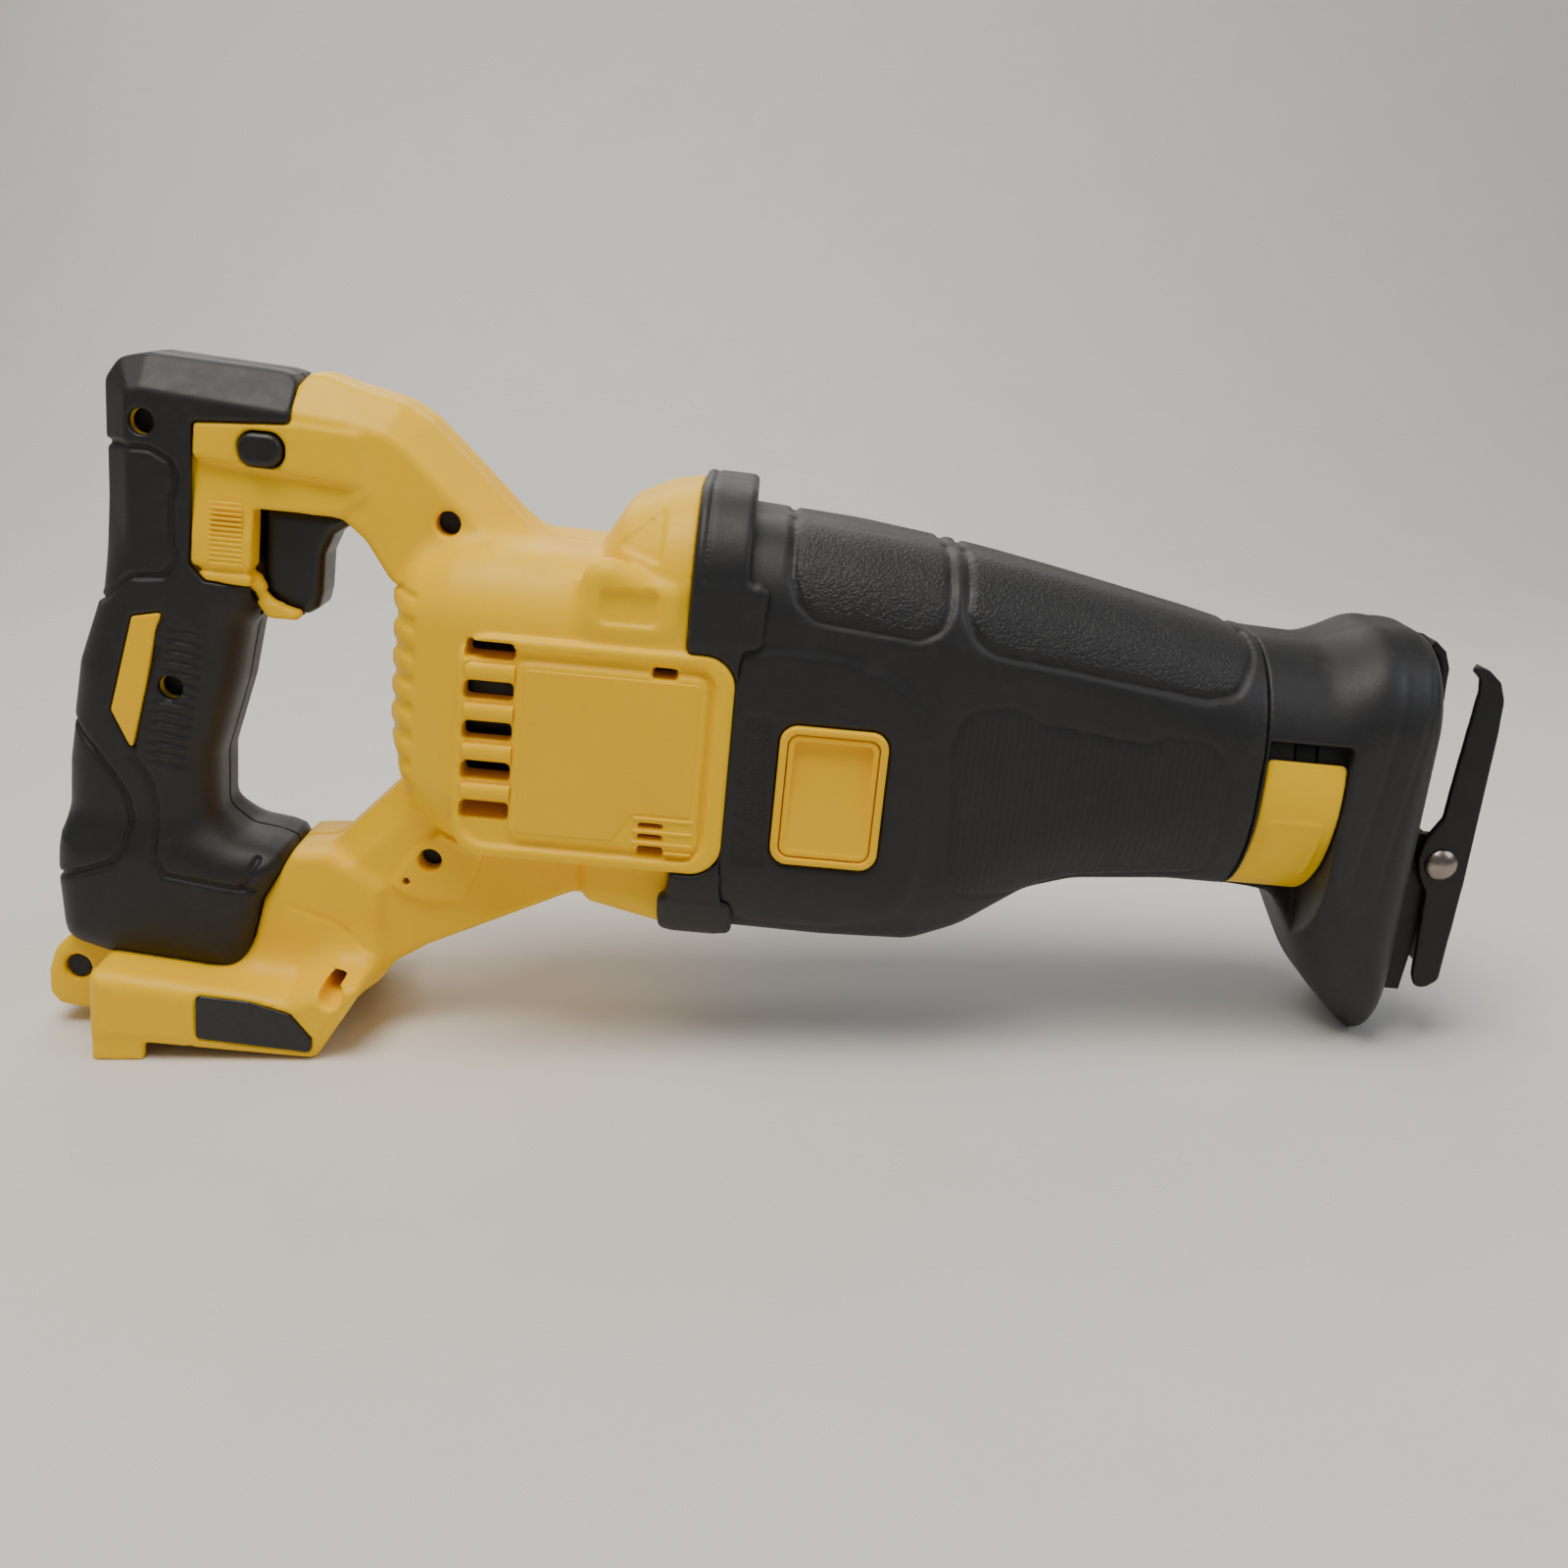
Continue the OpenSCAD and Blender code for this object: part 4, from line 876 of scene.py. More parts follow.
    def build(self, name: str, spots: Sequence[Triple], finish: Finish, body: str,
              slot: str, stands_for: Sequence[str] = ()) -> bpy.types.Object:
        """Stand the detail at each spot and make the result one piece.

        Args:
            name: Name of the piece.
            spots: Places in the tool's own axes.
            finish: Its finish.
            body: Body that it rides on.
            slot: Material slot of the record that it belongs to; not used.
            stands_for: CAD nodes that it replaces.

        Returns:
            The piece.
        """
        seeds = bpy.data.meshes.new(name + "_spots")
        seeds.from_pydata([tuple(spot) for spot in spots], [], [])
        holder = holder_of(seeds)
        modifier = holder.modifiers.new("repeat", "NODES")
        tree = self.tree()
        modifier.node_group = tree
        sizes = {"Length": self.length, "Width": self.width, "Depth": self.depth,
                 "Material": finish.material()}
        for item in tree.interface.items_tree:
            if item.item_type == "SOCKET" and item.in_out == "INPUT" and item.name in sizes:
                modifier[item.identifier] = sizes[item.name]
        mesh = baked(holder)
        mesh.name = name
        mesh.transform(TOOL)
        piece = add_piece(name, mesh, finish, body, stands_for)
        if self.kind is Repeat.SCREW:
            mesh.polygons.foreach_set("use_smooth", [False] * len(mesh.polygons))
        return piece


# ---------------------------------------------------------------- shared outlines

# Screws: places in the side plane, and how far out from the middle plane each head is seated.
SCREW_SPOTS = ((-159.0, 70.0), (-152.0, -4.0), (-75.0, 50.0), (-77.0, -50.0), (-100.5, -87.5))
SCREW_SEATS = (9.0, 9.0, 9.0, 7.0, 10.0)
SCREW_RADIUS = 3.5
SCREW_LIP = 0.9
LUG_SCREW = (-183.5, -96.5)
LUG_SCREW_SEAT = 7.5
# Lock-off button: an oval in the side plane.
LOCK_CENTRE = (-126.5, 65.5)
LOCK_HALF = (6.0, 4.5)
LOCK_CORNER = 4.0
# Where the hub ends and the boot begins.
HUB_FRONT = -5.5
# Way in which the trigger slides: its roof and its half width.
TRIGGER_HEAD = 48.8
TRIGGER_WAY_HALF = 9.3
# Outline that the sloped top edges of handle and arm follow, and how softly they break.
TOP_EASE = 1.2
TOP_LINE = ((-172, 80), (-168, 86), (-160, 88), (-104, 83.8), (-90, 81), (-83, 77), (-72, 67), (-40, 38),
            (-40, -200), (-172, -200))
# Label plate in the side plane, and the skirt under the hub.
LABEL_LOW, LABEL_HIGH = (-67.0, -38.0), (8.5, 25.0)
LABEL_CORNER = 9.0
SKIRT_BACK = -32.0
SKIRT = (Station(SKIRT_BACK, 24, -57, -30, 8), Station(HUB_FRONT, 32, -60, -30, 10))
SKIRT_BLUR = 3.0


def top_chamfer(x: Array, y: Array, z: Array, half: float, wide: float = 9.0) -> Array:
    """Sloped plane that takes the top edges off the handle and its arm."""
    return (plan(x, z, TOP_LINE, 4.0) + y - half + wide) * math.sqrt(0.5)


def screw_holes(x: Array, y: Array, z: Array) -> Array:
    """Recesses for the screw heads, open toward the right side."""
    holes = [meet(disc(x, z, spot, SCREW_RADIUS), seat - y) for spot, seat in zip(SCREW_SPOTS, SCREW_SEATS)]
    return np.minimum.reduce([np.broadcast_to(hole, np.broadcast(x, y, z).shape) for hole in holes])


def lock_hole(x: Array, z: Array, grow: float) -> Array:
    """Oval round the lock-off button, in the side plane.

    Args:
        x: Places along the stroke.
        z: Heights.
        grow: How much larger than the button it is.

    Returns:
        Distances in the side plane, negative inside.
    """
    low = tuple(centre - half - grow for centre, half in zip(LOCK_CENTRE, LOCK_HALF))
    high = tuple(centre + half + grow for centre, half in zip(LOCK_CENTRE, LOCK_HALF))
    return panel(x, z, low, high, LOCK_CORNER + grow)


# ---------------------------------------------------------------- housing

@dataclass
class Housing:
    """Two-part yellow housing: motor hub, dome, skirt, arm, strut, side panels and battery foot.

    A half is a distance out from the middle plane, as are the sides of a plate or a rail; ends and
    slots are places along the stroke.
    """

    arm_half: float = 17.5
    strut_half: float = 15.0
    panel_half: float = 18.4
    foot_half: float = 37.5
    bay_half: float = 33.0
    bore: float = 33.0
    bore_ends: Pair = (-72.0, 20.0)
    bearing_ends: Pair = (-80.0, -70.0)
    shaft_ends: Pair = (-83.0, -70.0)
    lobe_pocket: Outline = ((-29.5, 31.0), (-14.0, 40.5))
    foot_rail: Outline = ((-170.0, -118.0), (-155.0, -100.0))
    label_pocket: Outline = ((-64.0, -34.5), (3.4, 21.6))
    label_island: Outline = ((-51.0, -32.0), (1.4, 18.6))
    trigger_way: Outline = ((-150.0, 18.0), (-100.0, TRIGGER_HEAD))
    battery_bay: Outline = ((-160.0, -140.0), (-80.0, -97.0))
    board_room: Outline = ((-160.0, -99.0), (-115.0, -90.5))
    board_half: float = 28.0
    bay_rail: Outline = ((-156.0, -106.5), (-103.0, -102.5))
    bay_rail_root: float = 29.6
    strut_groove: Outline = ((-118, -68), (-104, -72), (-94, -80))
    foot_groove: Outline = ((-141.5, -86), (-141.5, -110))
    plate_half: float = 41.5
    seam: float = 0.12
    hub_back: float = -89.0
    dome_back: float = -33.0
    dome_low: float = 8.0
    lobe_half: float = 40.0
    lobe_root: float = 34.0
    lip_half: float = 13.5
    strut_chamfer: float = 8.0
    post_half: float = 17.5
    lug_half: float = 12.0
    core_half: float = 15.3
    core_wall: float = 3.0
    rubber_seat: float = 2.6
    rail_sides: Pair = (28.0, 36.5)
    hub_rib_pitch: float = 8.0
    hub_rib_gap: float = 1.7
    hub_rib_reach: float = 29.0
    plate_root: float = 35.5
    bearing_r: float = 11.1
    shaft_r: float = 5.0
    vent_middle: float = -2.0
    vent_pitch: float = 11.4
    vent_half: float = 2.5
    vent_reach: float = 26.0
    vent_sides: Pair = (-65.0, -51.5)
    label_sides: Pair = (40.4, 41.35)
    badge_sides: Pair = (36.3, 37.6)
    locating_hole: Pair = (-83.8, -57.3)
    ridge_low: float = 33.0
    ridge_pitch: float = 1.42
    ridge_count: int = 13
    hub: tuple[Station, ...] = (
        Station(-89, 22, -14, 30, 10), Station(-83, 31, -31, 39, 16), Station(-72, 36.5, -39.5, 45, 20),
        Station(-60, 39, -43, 47, 22), Station(HUB_FRONT, 39, -43.5, 46, 22))
    dome: tuple[Station, ...] = (
        Station(-33, 25, 0, 48, 20), Station(-26, 34, 0, 59.5, 22), Station(-15, 37.5, 0, 65, 26),
        Station(HUB_FRONT, 39, 0, 67, 28))
    facet: Outline = ((-27, 50.5), (-14, 61.5), (-14.5, 47.5))
    lobe: Outline = ((-37, 26), (-5, 26), (-5, 44), (-16, 44.5), (-29, 49), (-35, 45))
    arm: Outline = ((-119.5, 88.4), (-104, 84), (-90, 81), (-83, 77), (-72, 67), (-55, 51), (-45, 36),
                    (-50, 24), (-86, 26), (-92, 34), (-98, 43), (-106, 49), (-119.5, 49))
    side_panel: Outline = ((-145, 71.2), (-118, 73), (-100, 72), (-97, 56), (-106, 49), (-128.9, 49),
                           (-129.3, 27.0), (-142, 27.8), (-146, 32))
    trigger_lip: Outline = ((-133, 30), (-128.8, 30), (-126.2, 25.8), (-121.4, 21.4), (-116.6, 20.2),
                            (-117.2, 16.8), (-125.6, 16.8), (-131, 24))
    strut: Outline = ((-118, -52), (-108, -51), (-86, -27), (-60, -20), (-25, -30), (-25, -52), (-47, -63),
                      (-77, -78), (-92, -88), (-112, -90))
    strut_top: Outline = ((-140, -53), (-108, -51), (-86, -27), (-60, -2), (0, -2), (0, -150), (-140, -150))
    pedestal: Outline = ((-117.9, -52), (-108, -51), (-90, -60), (-92, -88), (-131, -91), (-126, -67))
    foot: Outline = ((-171, -86), (-142, -88), (-114, -90), (-101, -84), (-91, -84), (-105, -108.5),
                     (-171, -108))
    rear_lug: Outline = ((-168, -84), (-184, -84.2), (-191, -92), (-193, -99), (-193, -106), (-190, -110),
                         (-168, -112))
    badge: Outline = ((-139.3, -90.3), (-124, -90.8), (-112, -93.8), (-105.6, -101), (-105.8, -105.4),
                      (-139.3, -103.9))
    corner_slots: tuple[Outline, ...] = (((-14.2, 17.2), (-7.4, 20.2)), ((-14.8, -33.6), (-7.8, -30.8)),
                                         ((-15.2, -25.4), (-8.2, -24.0)), ((-15.2, -28.7), (-8.2, -27.3)))
    boss: Outline = ((-89, -60), (-83, -49), (-73, -39), (-60, -44), (-66, -61), (-78, -63))
    bare_label: Outline = ((-49, 16.8), (-0.6, 16.8), (-0.6, -21.5), (-16.5, -21.5), (-22, -30.2),
                           (-49, -30.2))
    handle_core: Outline = ((-160, 84.5), (-166.5, 83), (-169, 78), (-169, 48), (-171, 22), (-178, 0),
                            (-182, -30), (-183, -60), (-181, -82), (-134, -87), (-129, -66), (-124, -55),
                            (-136, -53), (-144, -44), (-144, -26), (-138, -4), (-135, 16), (-131, 19),
                            (-131, 52), (-118, 52), (-118, 83))

    def fold(self, x: Array, z: Array) -> Array:
        """How far the sides step in under the lock-off band, fading out down the panel and along the arm.

        Args:
            x: Places along the stroke.
            z: Heights.

        Returns:
            How far the side moves in, in millimetres.
        """
        line = 62.6 - 0.09 * (x + 145.0)
        under_band = step_up((line - z) / 1.6)
        down_panel = np.clip((z - 40.0) / 18.0, 0.0, 1.0)
        along_arm = step_up((-97.0 - x) / 9.0)
        return 2.4 * under_band * down_panel * along_arm

    def form(self, x: Array, y: Array, z: Array) -> Array:
        """Outer form of the housing, before anything is cut into it.

        Args:
            x: Places along the stroke.
            y: Distances from the middle plane.
            z: Heights.

        Returns:
            The field, negative inside.
        """
        shape = loft(x, y, z, self.hub, 4.0)
        shape = meet(shape, between(x, self.hub_back, 40.0), 5.0)
        dome_ends = np.maximum(self.dome_back - x, self.dome_low - z)
        dome = meet(loft(x, y, z, self.dome, 3.0), dome_ends, 4.0)
        # the shallow three-cornered facet, and below it the lobe with its pocket
        dome = raised(dome, plan(x, z, self.facet, 1.0), -0.9, 1.0)
        lobe = meet(plan(x, z, self.lobe, 8.0), y - self.lobe_half, 5.0)
        lobe = raised(lobe, panel(x, z, *self.lobe_pocket, 2.0), -1.6, 1.2)
        dome = fuse(dome, np.maximum(lobe, self.lobe_root - y), 1.2)
        skirt = meet(loft(x, y, z, SKIRT, SKIRT_BLUR), SKIRT_BACK - x, 4.0)
        shape = fuse(fuse(shape, dome, 4.0), skirt, 3.0)
        step_in = self.fold(x, z)
        arm = meet(plan(x, z, self.arm, 9.0), y - self.arm_half + step_in, 2.5)
        arm = cut(arm, -top_chamfer(x, y, z, self.arm_half), TOP_EASE)
        shape = fuse(shape, arm, 7.0)
        side = meet(plan(x, z, self.side_panel, 1.2), y - self.panel_half + step_in, 1.0)
        lip = meet(plan(x, z, self.trigger_lip, 0.8), y - self.lip_half, 1.6)
        shape = fuse(fuse(shape, side, 2.0), lip, 0.8)
        strut = meet(plan(x, z, self.strut, 5.0), y - self.strut_half, 2.0)
        slope = (plan(x, z, self.strut_top, 4.0) + y - self.strut_half + self.strut_chamfer) * math.sqrt(0.5)
        strut = cut(strut, -slope, TOP_EASE)
        foot = meet(plan(x, z, self.foot, 3.0), y - self.foot_half, 4.5)
        post = meet(plan(x, z, self.pedestal, 2.0), y - self.post_half, 3.0)
        lug = meet(plan(x, z, self.rear_lug, 3.0), y - self.lug_half, 3.0)
        low = fuse(fuse(foot, post, 12.0), np.minimum(strut, lug), 4.0)
        rail = meet(panel(x, z, *self.foot_rail, 1.0), between(y, *self.rail_sides), 1.0)
        shape = fuse(shape, fuse(low, rail, 1.0), 5.0)
        core = meet(plan(x, z, self.handle_core, 3.0), y - self.core_half, 3.0)
        return np.minimum(shape, np.maximum(core, GRIP.outer(x, y, z) + self.rubber_seat))

    def surface(self, x: Array, y: Array, z: Array) -> Array:
        """The form with its raised, sunk and folded surfaces.

        Args:
            x: Places along the stroke.
            y: Distances from the middle plane.
            z: Heights.

        Returns:
            The field, negative inside.
        """
        shape = self.form(x, y, z)
        shape = raised(shape, meet(plan(x, z, self.boss, 3.0), 10.0 - y), 2.0, 1.6)
        # shallow grooves along the strut and down the side of the foot
        shape = raised(shape, trail(x, z, self.strut_groove) - 0.4, -0.5, 1.0)
        shape = raised(shape, trail(x, z, self.foot_groove) - 0.3, -0.6, 1.0)
        # breathing ribs round the back of the hub
        half_pitch = 0.5 * self.hub_rib_pitch
        gaps = np.abs(np.mod(z + half_pitch, self.hub_rib_pitch) - half_pitch) - self.hub_rib_gap
        gaps = np.maximum(np.maximum(gaps, x + 80.5), np.abs(z - 3.0) - self.hub_rib_reach)
        return raised(shape, gaps, -1.2, 1.4)

    def plates(self, x: Array, y: Array, z: Array) -> Array:
        """Label plate with its rim, pocket and island, standing out of the hub's side.

        Args:
            x: Places along the stroke.
            y: Distances from the middle plane.
            z: Heights.

        Returns:
            The field, negative inside.
        """
        outline = panel(x, z, LABEL_LOW, LABEL_HIGH, LABEL_CORNER)
        plate = meet(outline, np.maximum(y - self.plate_half, self.plate_root - y), 1.3)
        plate = raised(plate, panel(x, z, *self.label_pocket, 7.0), -1.9, 1.3)
        return raised(plate, panel(x, z, *self.label_island, 3.0), 1.5, 1.3)

    def rooms(self, x: Array, y: Array, z: Array) -> Array:
        """Hollows inside the housing: motor chamber, handle, trigger way and battery bay.

        Args:
            x: Places along the stroke.
            y: Distances from the middle plane.
            z: Heights.

        Returns:
            The field, negative inside.
        """
        radius = np.hypot(y, z)
        bore = meet(radius - self.bore, between(x, *self.bore_ends))
        seat = meet(radius - self.bearing_r, between(x, *self.bearing_ends))
        shaft = meet(radius - self.shaft_r, between(x, *self.shaft_ends))
        way = meet(panel(x, z, *self.trigger_way, 1.0), y - TRIGGER_WAY_HALF)
        bay = np.maximum(panel(x, z, *self.battery_bay, 1.0), y - self.bay_half)
        board = meet(panel(x, z, *self.board_room, 1.0), y - self.board_half)
        rail = meet(panel(x, z, *self.bay_rail, 0.5), self.bay_rail_root - y)
        bay = np.maximum(bay, -rail)
        core = meet(plan(x, z, self.handle_core, 3.0) + self.core_wall, y - self.core_half + self.core_wall)
        core = np.maximum(core, -88.0 - z)
        return np.minimum.reduce(np.broadcast_arrays(bore, seat, shaft, way, bay, board, core))

    def half_field(self, x: Array, y: Array, z: Array) -> Array:
        """Field of one housing half, on the side of positive Y, without its screw holes.

        Args:
            x: Places along the stroke.
            y: Distances from the middle plane.
            z: Heights.

        Returns:
            The field, negative inside.
        """
        shape = np.maximum(self.surface(x, y, z), x - HUB_FRONT)
        shape = fuse(shape, self.plates(x, y, z), 1.0)
        shape = cut(shape, self.rooms(x, y, z), 0.6)
        rise = z - self.vent_middle
        half_pitch = 0.5 * self.vent_pitch
        row = np.abs(np.mod(rise + half_pitch, self.vent_pitch) - half_pitch) - self.vent_half
        openings = meet(np.maximum(row, np.abs(rise) - self.vent_reach), between(x, *self.vent_sides), 1.2)
        for low, high in self.corner_slots:
            openings = np.minimum(openings, panel(x, z, low, high, 0.4))
        shape = cut(shape, meet(openings, 25.0 - y), 0.5)
        shape = cut(shape, lock_hole(x, z, 0.5) + 0.0 * y, 0.8)
        shape = cut(shape, np.maximum(plan(x, z, self.badge, 1.5) - 0.2, self.foot_half - 1.3 - y), 0.4)
        shape = cut(shape, np.maximum(disc(x, z, self.locating_hole, 1.1), 11.0 - y), 0.6)
        return meet(np.maximum(shape, self.seam - y), -height(x, z), 0.6)

    def label(self, x: Array, y: Array, z: Array) -> Array:
        """Bare film plate on the label island, with one corner cut off by the ridges."""
        return meet(plan(x, z, self.bare_label, 1.5), between(y, *self.label_sides), 0.3)

    def build(self) -> None:
        """Build the halves, the plates, the badges, the slats, the ridges and the screws."""
        block = Block((-193.0, 0.0, -118.0), (9.0, 41.6, 89.0), 0.8)
        x, y, z = block.grid()
        values = self.half_field(x, y, z)
        moulding("housing_shell_left", block, values, YELLOW, "housing", ["housing_left"])
        drilled = cut(values, screw_holes(x, y, z), SCREW_LIP)
        lug = meet(disc(x, z, LUG_SCREW, SCREW_RADIUS + 0.5), LUG_SCREW_SEAT - y)
        drilled = cut(drilled, lug, SCREW_LIP)
        moulding("housing_shell_right", block, drilled, YELLOW, "housing",
                 ["housing_right"], side=Side.RIGHT)
        plate = Block((-50.0, 40.0, -31.0), (0.0, 41.6, 17.5), 0.35)
        tag = Block((-140.0, 35.8, -106.5), (-104.5, 37.9, -89.5), 0.35)
        tx, ty, tz = tag.grid()
        field = meet(plan(tx, tz, self.badge, 1.5), between(ty, *self.badge_sides), 0.5)
        for side in Side:
            moulding(f"bare_label_{side.label}", plate, self.label(*plate.grid()), YELLOW_SMOOTH, "housing",
                     [f"side_plate_{side.label}"], side=side)
            moulding(f"bare_badge_{side.label}", tag, field, BADGE, "housing",
                     [f"badge_{side.label}"], side=side)
        self.details()

    def details(self) -> None:
        """Slats across the vents, ridges on the panels and the screws."""
        slats = [self.vent_middle + self.vent_pitch * (k - 1.5) for k in range(4)]
        ridges = [self.ridge_low + self.ridge_pitch * k for k in range(self.ridge_count)]
        rows = (
            ("vent_slats", Pattern(Repeat.BAR, 13.4, 4.6, 2.6), -57.8, 40.4, slats),
            ("panel_ridges", Pattern(Repeat.BAR, 9.0, 0.8, 0.7), -136.0, self.panel_half - 0.05, ridges),
            ("label_corner_ridges", Pattern(Repeat.BAR, 16.5, 1.1, 1.2), -8.2, 41.0, (-22.6, -26.3, -29.7)),
            ("label_corner_tips", Pattern(Repeat.BAR, 7.5, 1.0, 1.2), -3.6, 41.0, (-32.2,)),
        )
        for name, pattern, along, out, levels in rows:
            spots = [(along, side.value * out, level) for side in Side for level in levels]
            pattern.build(name, spots, YELLOW, "housing", "housing_yellow")
        screw = Pattern(Repeat.SCREW, 12.0, 6.6, 3.0)
        lift = 0.5 * screw.depth
        seated = [*zip(SCREW_SPOTS, SCREW_SEATS), (LUG_SCREW, LUG_SCREW_SEAT)]
        heads = [(sx, -seat - lift, sz) for (sx, sz), seat in seated]
        screw.build("socket_screws", heads, BLACK_STEEL, "housing", "black_steel", ["housing_screws"])


# ---------------------------------------------------------------- grip

@dataclass
class Grip:
    """Rubber moulded over the handle, with its pads, ribs and yellow side inserts."""

    half: float = 18.5
    round_edge: float = 13.0
    rib_pitch: float = 3.1
    outline: Outline = ((-160, 88), (-168, 86), (-172, 80), (-172, 48), (-174, 22), (-181, 0), (-185, -30),
                        (-186, -60), (-184, -84), (-170, -88), (-131, -91), (-126, -67), (-118, -52),
                        (-134, -50), (-141, -43), (-141, -26), (-135, -4), (-132, 14), (-128, 18), (-128, 48),
                        (-118, 49), (-118, 86.2))
    flare: Outline = ((-185, -50), (-186, -62), (-184, -84), (-170, -88), (-131, -91), (-126, -67),
                      (-119, -54), (-136, -52), (-152, -50))
    upper_pad: Outline = ((-173, 63), (-157, 63), (-151, 60), (-149.5, 55), (-151, 50), (-151, 38),
                          (-149.5, 33), (-153, 28), (-163, 27), (-176, 15))
    lower_pad: Outline = ((-190, -14), (-181, -18), (-174, -24), (-165, -37), (-163.5, -44), (-165, -53),
                          (-169, -58), (-190, -66))
    contour: Outline = ((-155, 8), (-160, -8), (-163, -25), (-158.5, -31), (-156.5, -39), (-156.5, -54),
                        (-153, -60), (-137, -62), (-128, -63))
    contour_up: Outline = ((-131, -62), (-127, -54))
    insert: Outline = ((-162.5, 16), (-153.5, 18), (-155.5, 13), (-159, -6), (-163, -24), (-169, -12))
    ribs: Outline = ((-153, 15), (-141, 17), (-143, -8), (-147, -30), (-161, -30), (-158, -8))
    yellow_edge: Outline = ((-118, 110), (-118, 73.2), (-145.2, 71.4), (-146.2, 31.8), (-142.2, 27.8),
                            (-130, 27), (-125.4, 16.7), (-60, 16.2), (-60, 110))
    trigger_way: Outline = ((-150.0, 18.2), (-100.0, TRIGGER_HEAD))
    flare_half: float = 20.5
    rib_height: float = 0.38
    insert_root: float = 13.0

    def outer(self, x: Array, y: Array, z: Array) -> Array:
        """Skin of the rubber: chamfered at the top, full and round down the grip, flared at the foot.

        Args:
            x: Places along the stroke.
            y: Distances from the middle plane.
            z: Heights.

        Returns:
            The field, negative inside.
        """
        side = plan(x, z, self.outline, 6.0)
        square = meet(side, y - self.half, 2.5)
        square = cut(square, -top_chamfer(x, y, z, self.half), TOP_EASE)
        barrel = meet(side, y - self.half - 0.5, self.round_edge)
        share = step_up((z - 22.0) / 22.0)
        flare = meet(plan(x, z, self.flare, 6.0), y - self.flare_half, 7.0)
        return fuse(barrel + (square - barrel) * share, flare, 9.0)

    def half_field(self, x: Array, y: Array, z: Array) -> Array:
        """Field of the rubber on the side of positive Y, without its screw holes.

        Args:
            x: Places along the stroke.
            y: Distances from the middle plane.
            z: Heights.

        Returns:
            The field, negative inside.
        """
        shape = self.outer(x, y, z)
        for pad in (self.upper_pad, self.lower_pad):
            shape = raised(shape, np.abs(plan(x, z, pad, 3.0)) - 0.9, -1.1, 1.2)
            shape = raised(shape, plan(x, z, pad, 3.0), -0.3, 1.2)
        for line in (self.contour, self.contour_up):
            shape = raised(shape, trail(x, z, line) - 0.8, -1.0, 1.3)
        wave = self.rib_height * np.cos((z + 0.12 * x) * 2.0 * math.pi / self.rib_pitch)
        shape = raised(shape, plan(x, z, self.ribs, 3.0) + 2.0, wave - 0.2, 4.0)
        shape = cut(shape, plan(x, z, self.yellow_edge, 1.5) - 0.2, 0.8)
        shape = cut(shape, plan(x, z, HOUSING.pedestal, 2.0) - 0.2, 0.8)
        shape = cut(shape, HOUSING.form(x, y, z) - 0.15, 0.4)
        shape = cut(shape, np.maximum(plan(x, z, self.insert, 1.0) - 0.1, self.insert_root - y), 0.8)
        way = meet(panel(x, z, *self.trigger_way, 1.0), y - TRIGGER_WAY_HALF)
        shape = cut(shape, way, 0.6)
        return np.maximum(shape, HOUSING.seam - y)

    def insert_field(self, x: Array, y: Array, z: Array) -> Array:
        """Yellow sliver set into the side of the grip."""
        sliver = meet(plan(x, z, self.insert, 1.0) + 0.15, self.outer(x, y, z) - 0.15, 0.6)
        return np.maximum(sliver, self.insert_root + 0.5 - y)

    def build(self) -> None:
        """Build both rubber halves and both inserts."""
        block = Block((-187.0, 0.0, -92.0), (-117.0, 21.0, 89.0), 0.6)
        x, y, z = block.grid()
        values = self.half_field(x, y, z)
        moulding("grip_skin_left", block, values, RUBBER, "housing", ["grip_rubber_left"])
        drilled = cut(values, screw_holes(x, y, z), SCREW_LIP)
        moulding("grip_skin_right", block, drilled, RUBBER, "housing", ["grip_rubber_right"],
                 side=Side.RIGHT)
        sliver = Block((-170.0, 13.0, -25.0), (-152.0, 20.0, 19.0), 0.4)
        for side in Side:
            moulding(f"grip_sliver_{side.label}", sliver, self.insert_field(*sliver.grid()), YELLOW_SMOOTH,
                     "housing", [f"grip_insert_{side.label}"], side=side)


# ---------------------------------------------------------------- controls

@dataclass
class Controls:
    """Trigger and lock-off button."""

    trigger_half: float = 8.5
    lock_out: float = 20.2
    trigger_outline: Outline = ((-129, 48.4), (-103.5, 48.4), (-103.8, 45.8), (-109, 42), (-111.5, 36),
                                (-112, 25), (-113, 20.5), (-116, 18.6), (-121.5, 18.4), (-126.5, 22.5),
                                (-129, 25))
    tongue_half: float = 5.0
    lock_in: float = 16.8
    tongue: Outline = ((-141.0, 32.0), (-127.0, 46.0))

    def build(self) -> None:
        """Build both controls."""
        block = Block((-141.0, -9.0, 18.0), (-103.0, 9.0, 49.0), 0.45)
        x, y, z = block.grid()
        shape = meet(plan(x, z, self.trigger_outline, 2.0), np.abs(y) - self.trigger_half, 3.2)
        stem = np.maximum(panel(x, z, *self.tongue, 1.0), np.abs(y) - self.tongue_half)
        moulding("trigger_lever", block, fuse(shape, stem, 0.5), BLACK_PLASTIC, "trigger",
                 ["trigger"])
        block = Block((-134.0, -21.0, 60.0), (-119.0, 18.0, 71.0), 0.45)
        x, y, z = block.grid()
        shape = meet(lock_hole(x, z, 0.0), between(y, -self.lock_out, self.lock_in), 1.6)
        moulding("lock_off_button", block, shape, BLACK_PLASTIC, "lock_button",
                 ["lock_button"])


# ---------------------------------------------------------------- boot

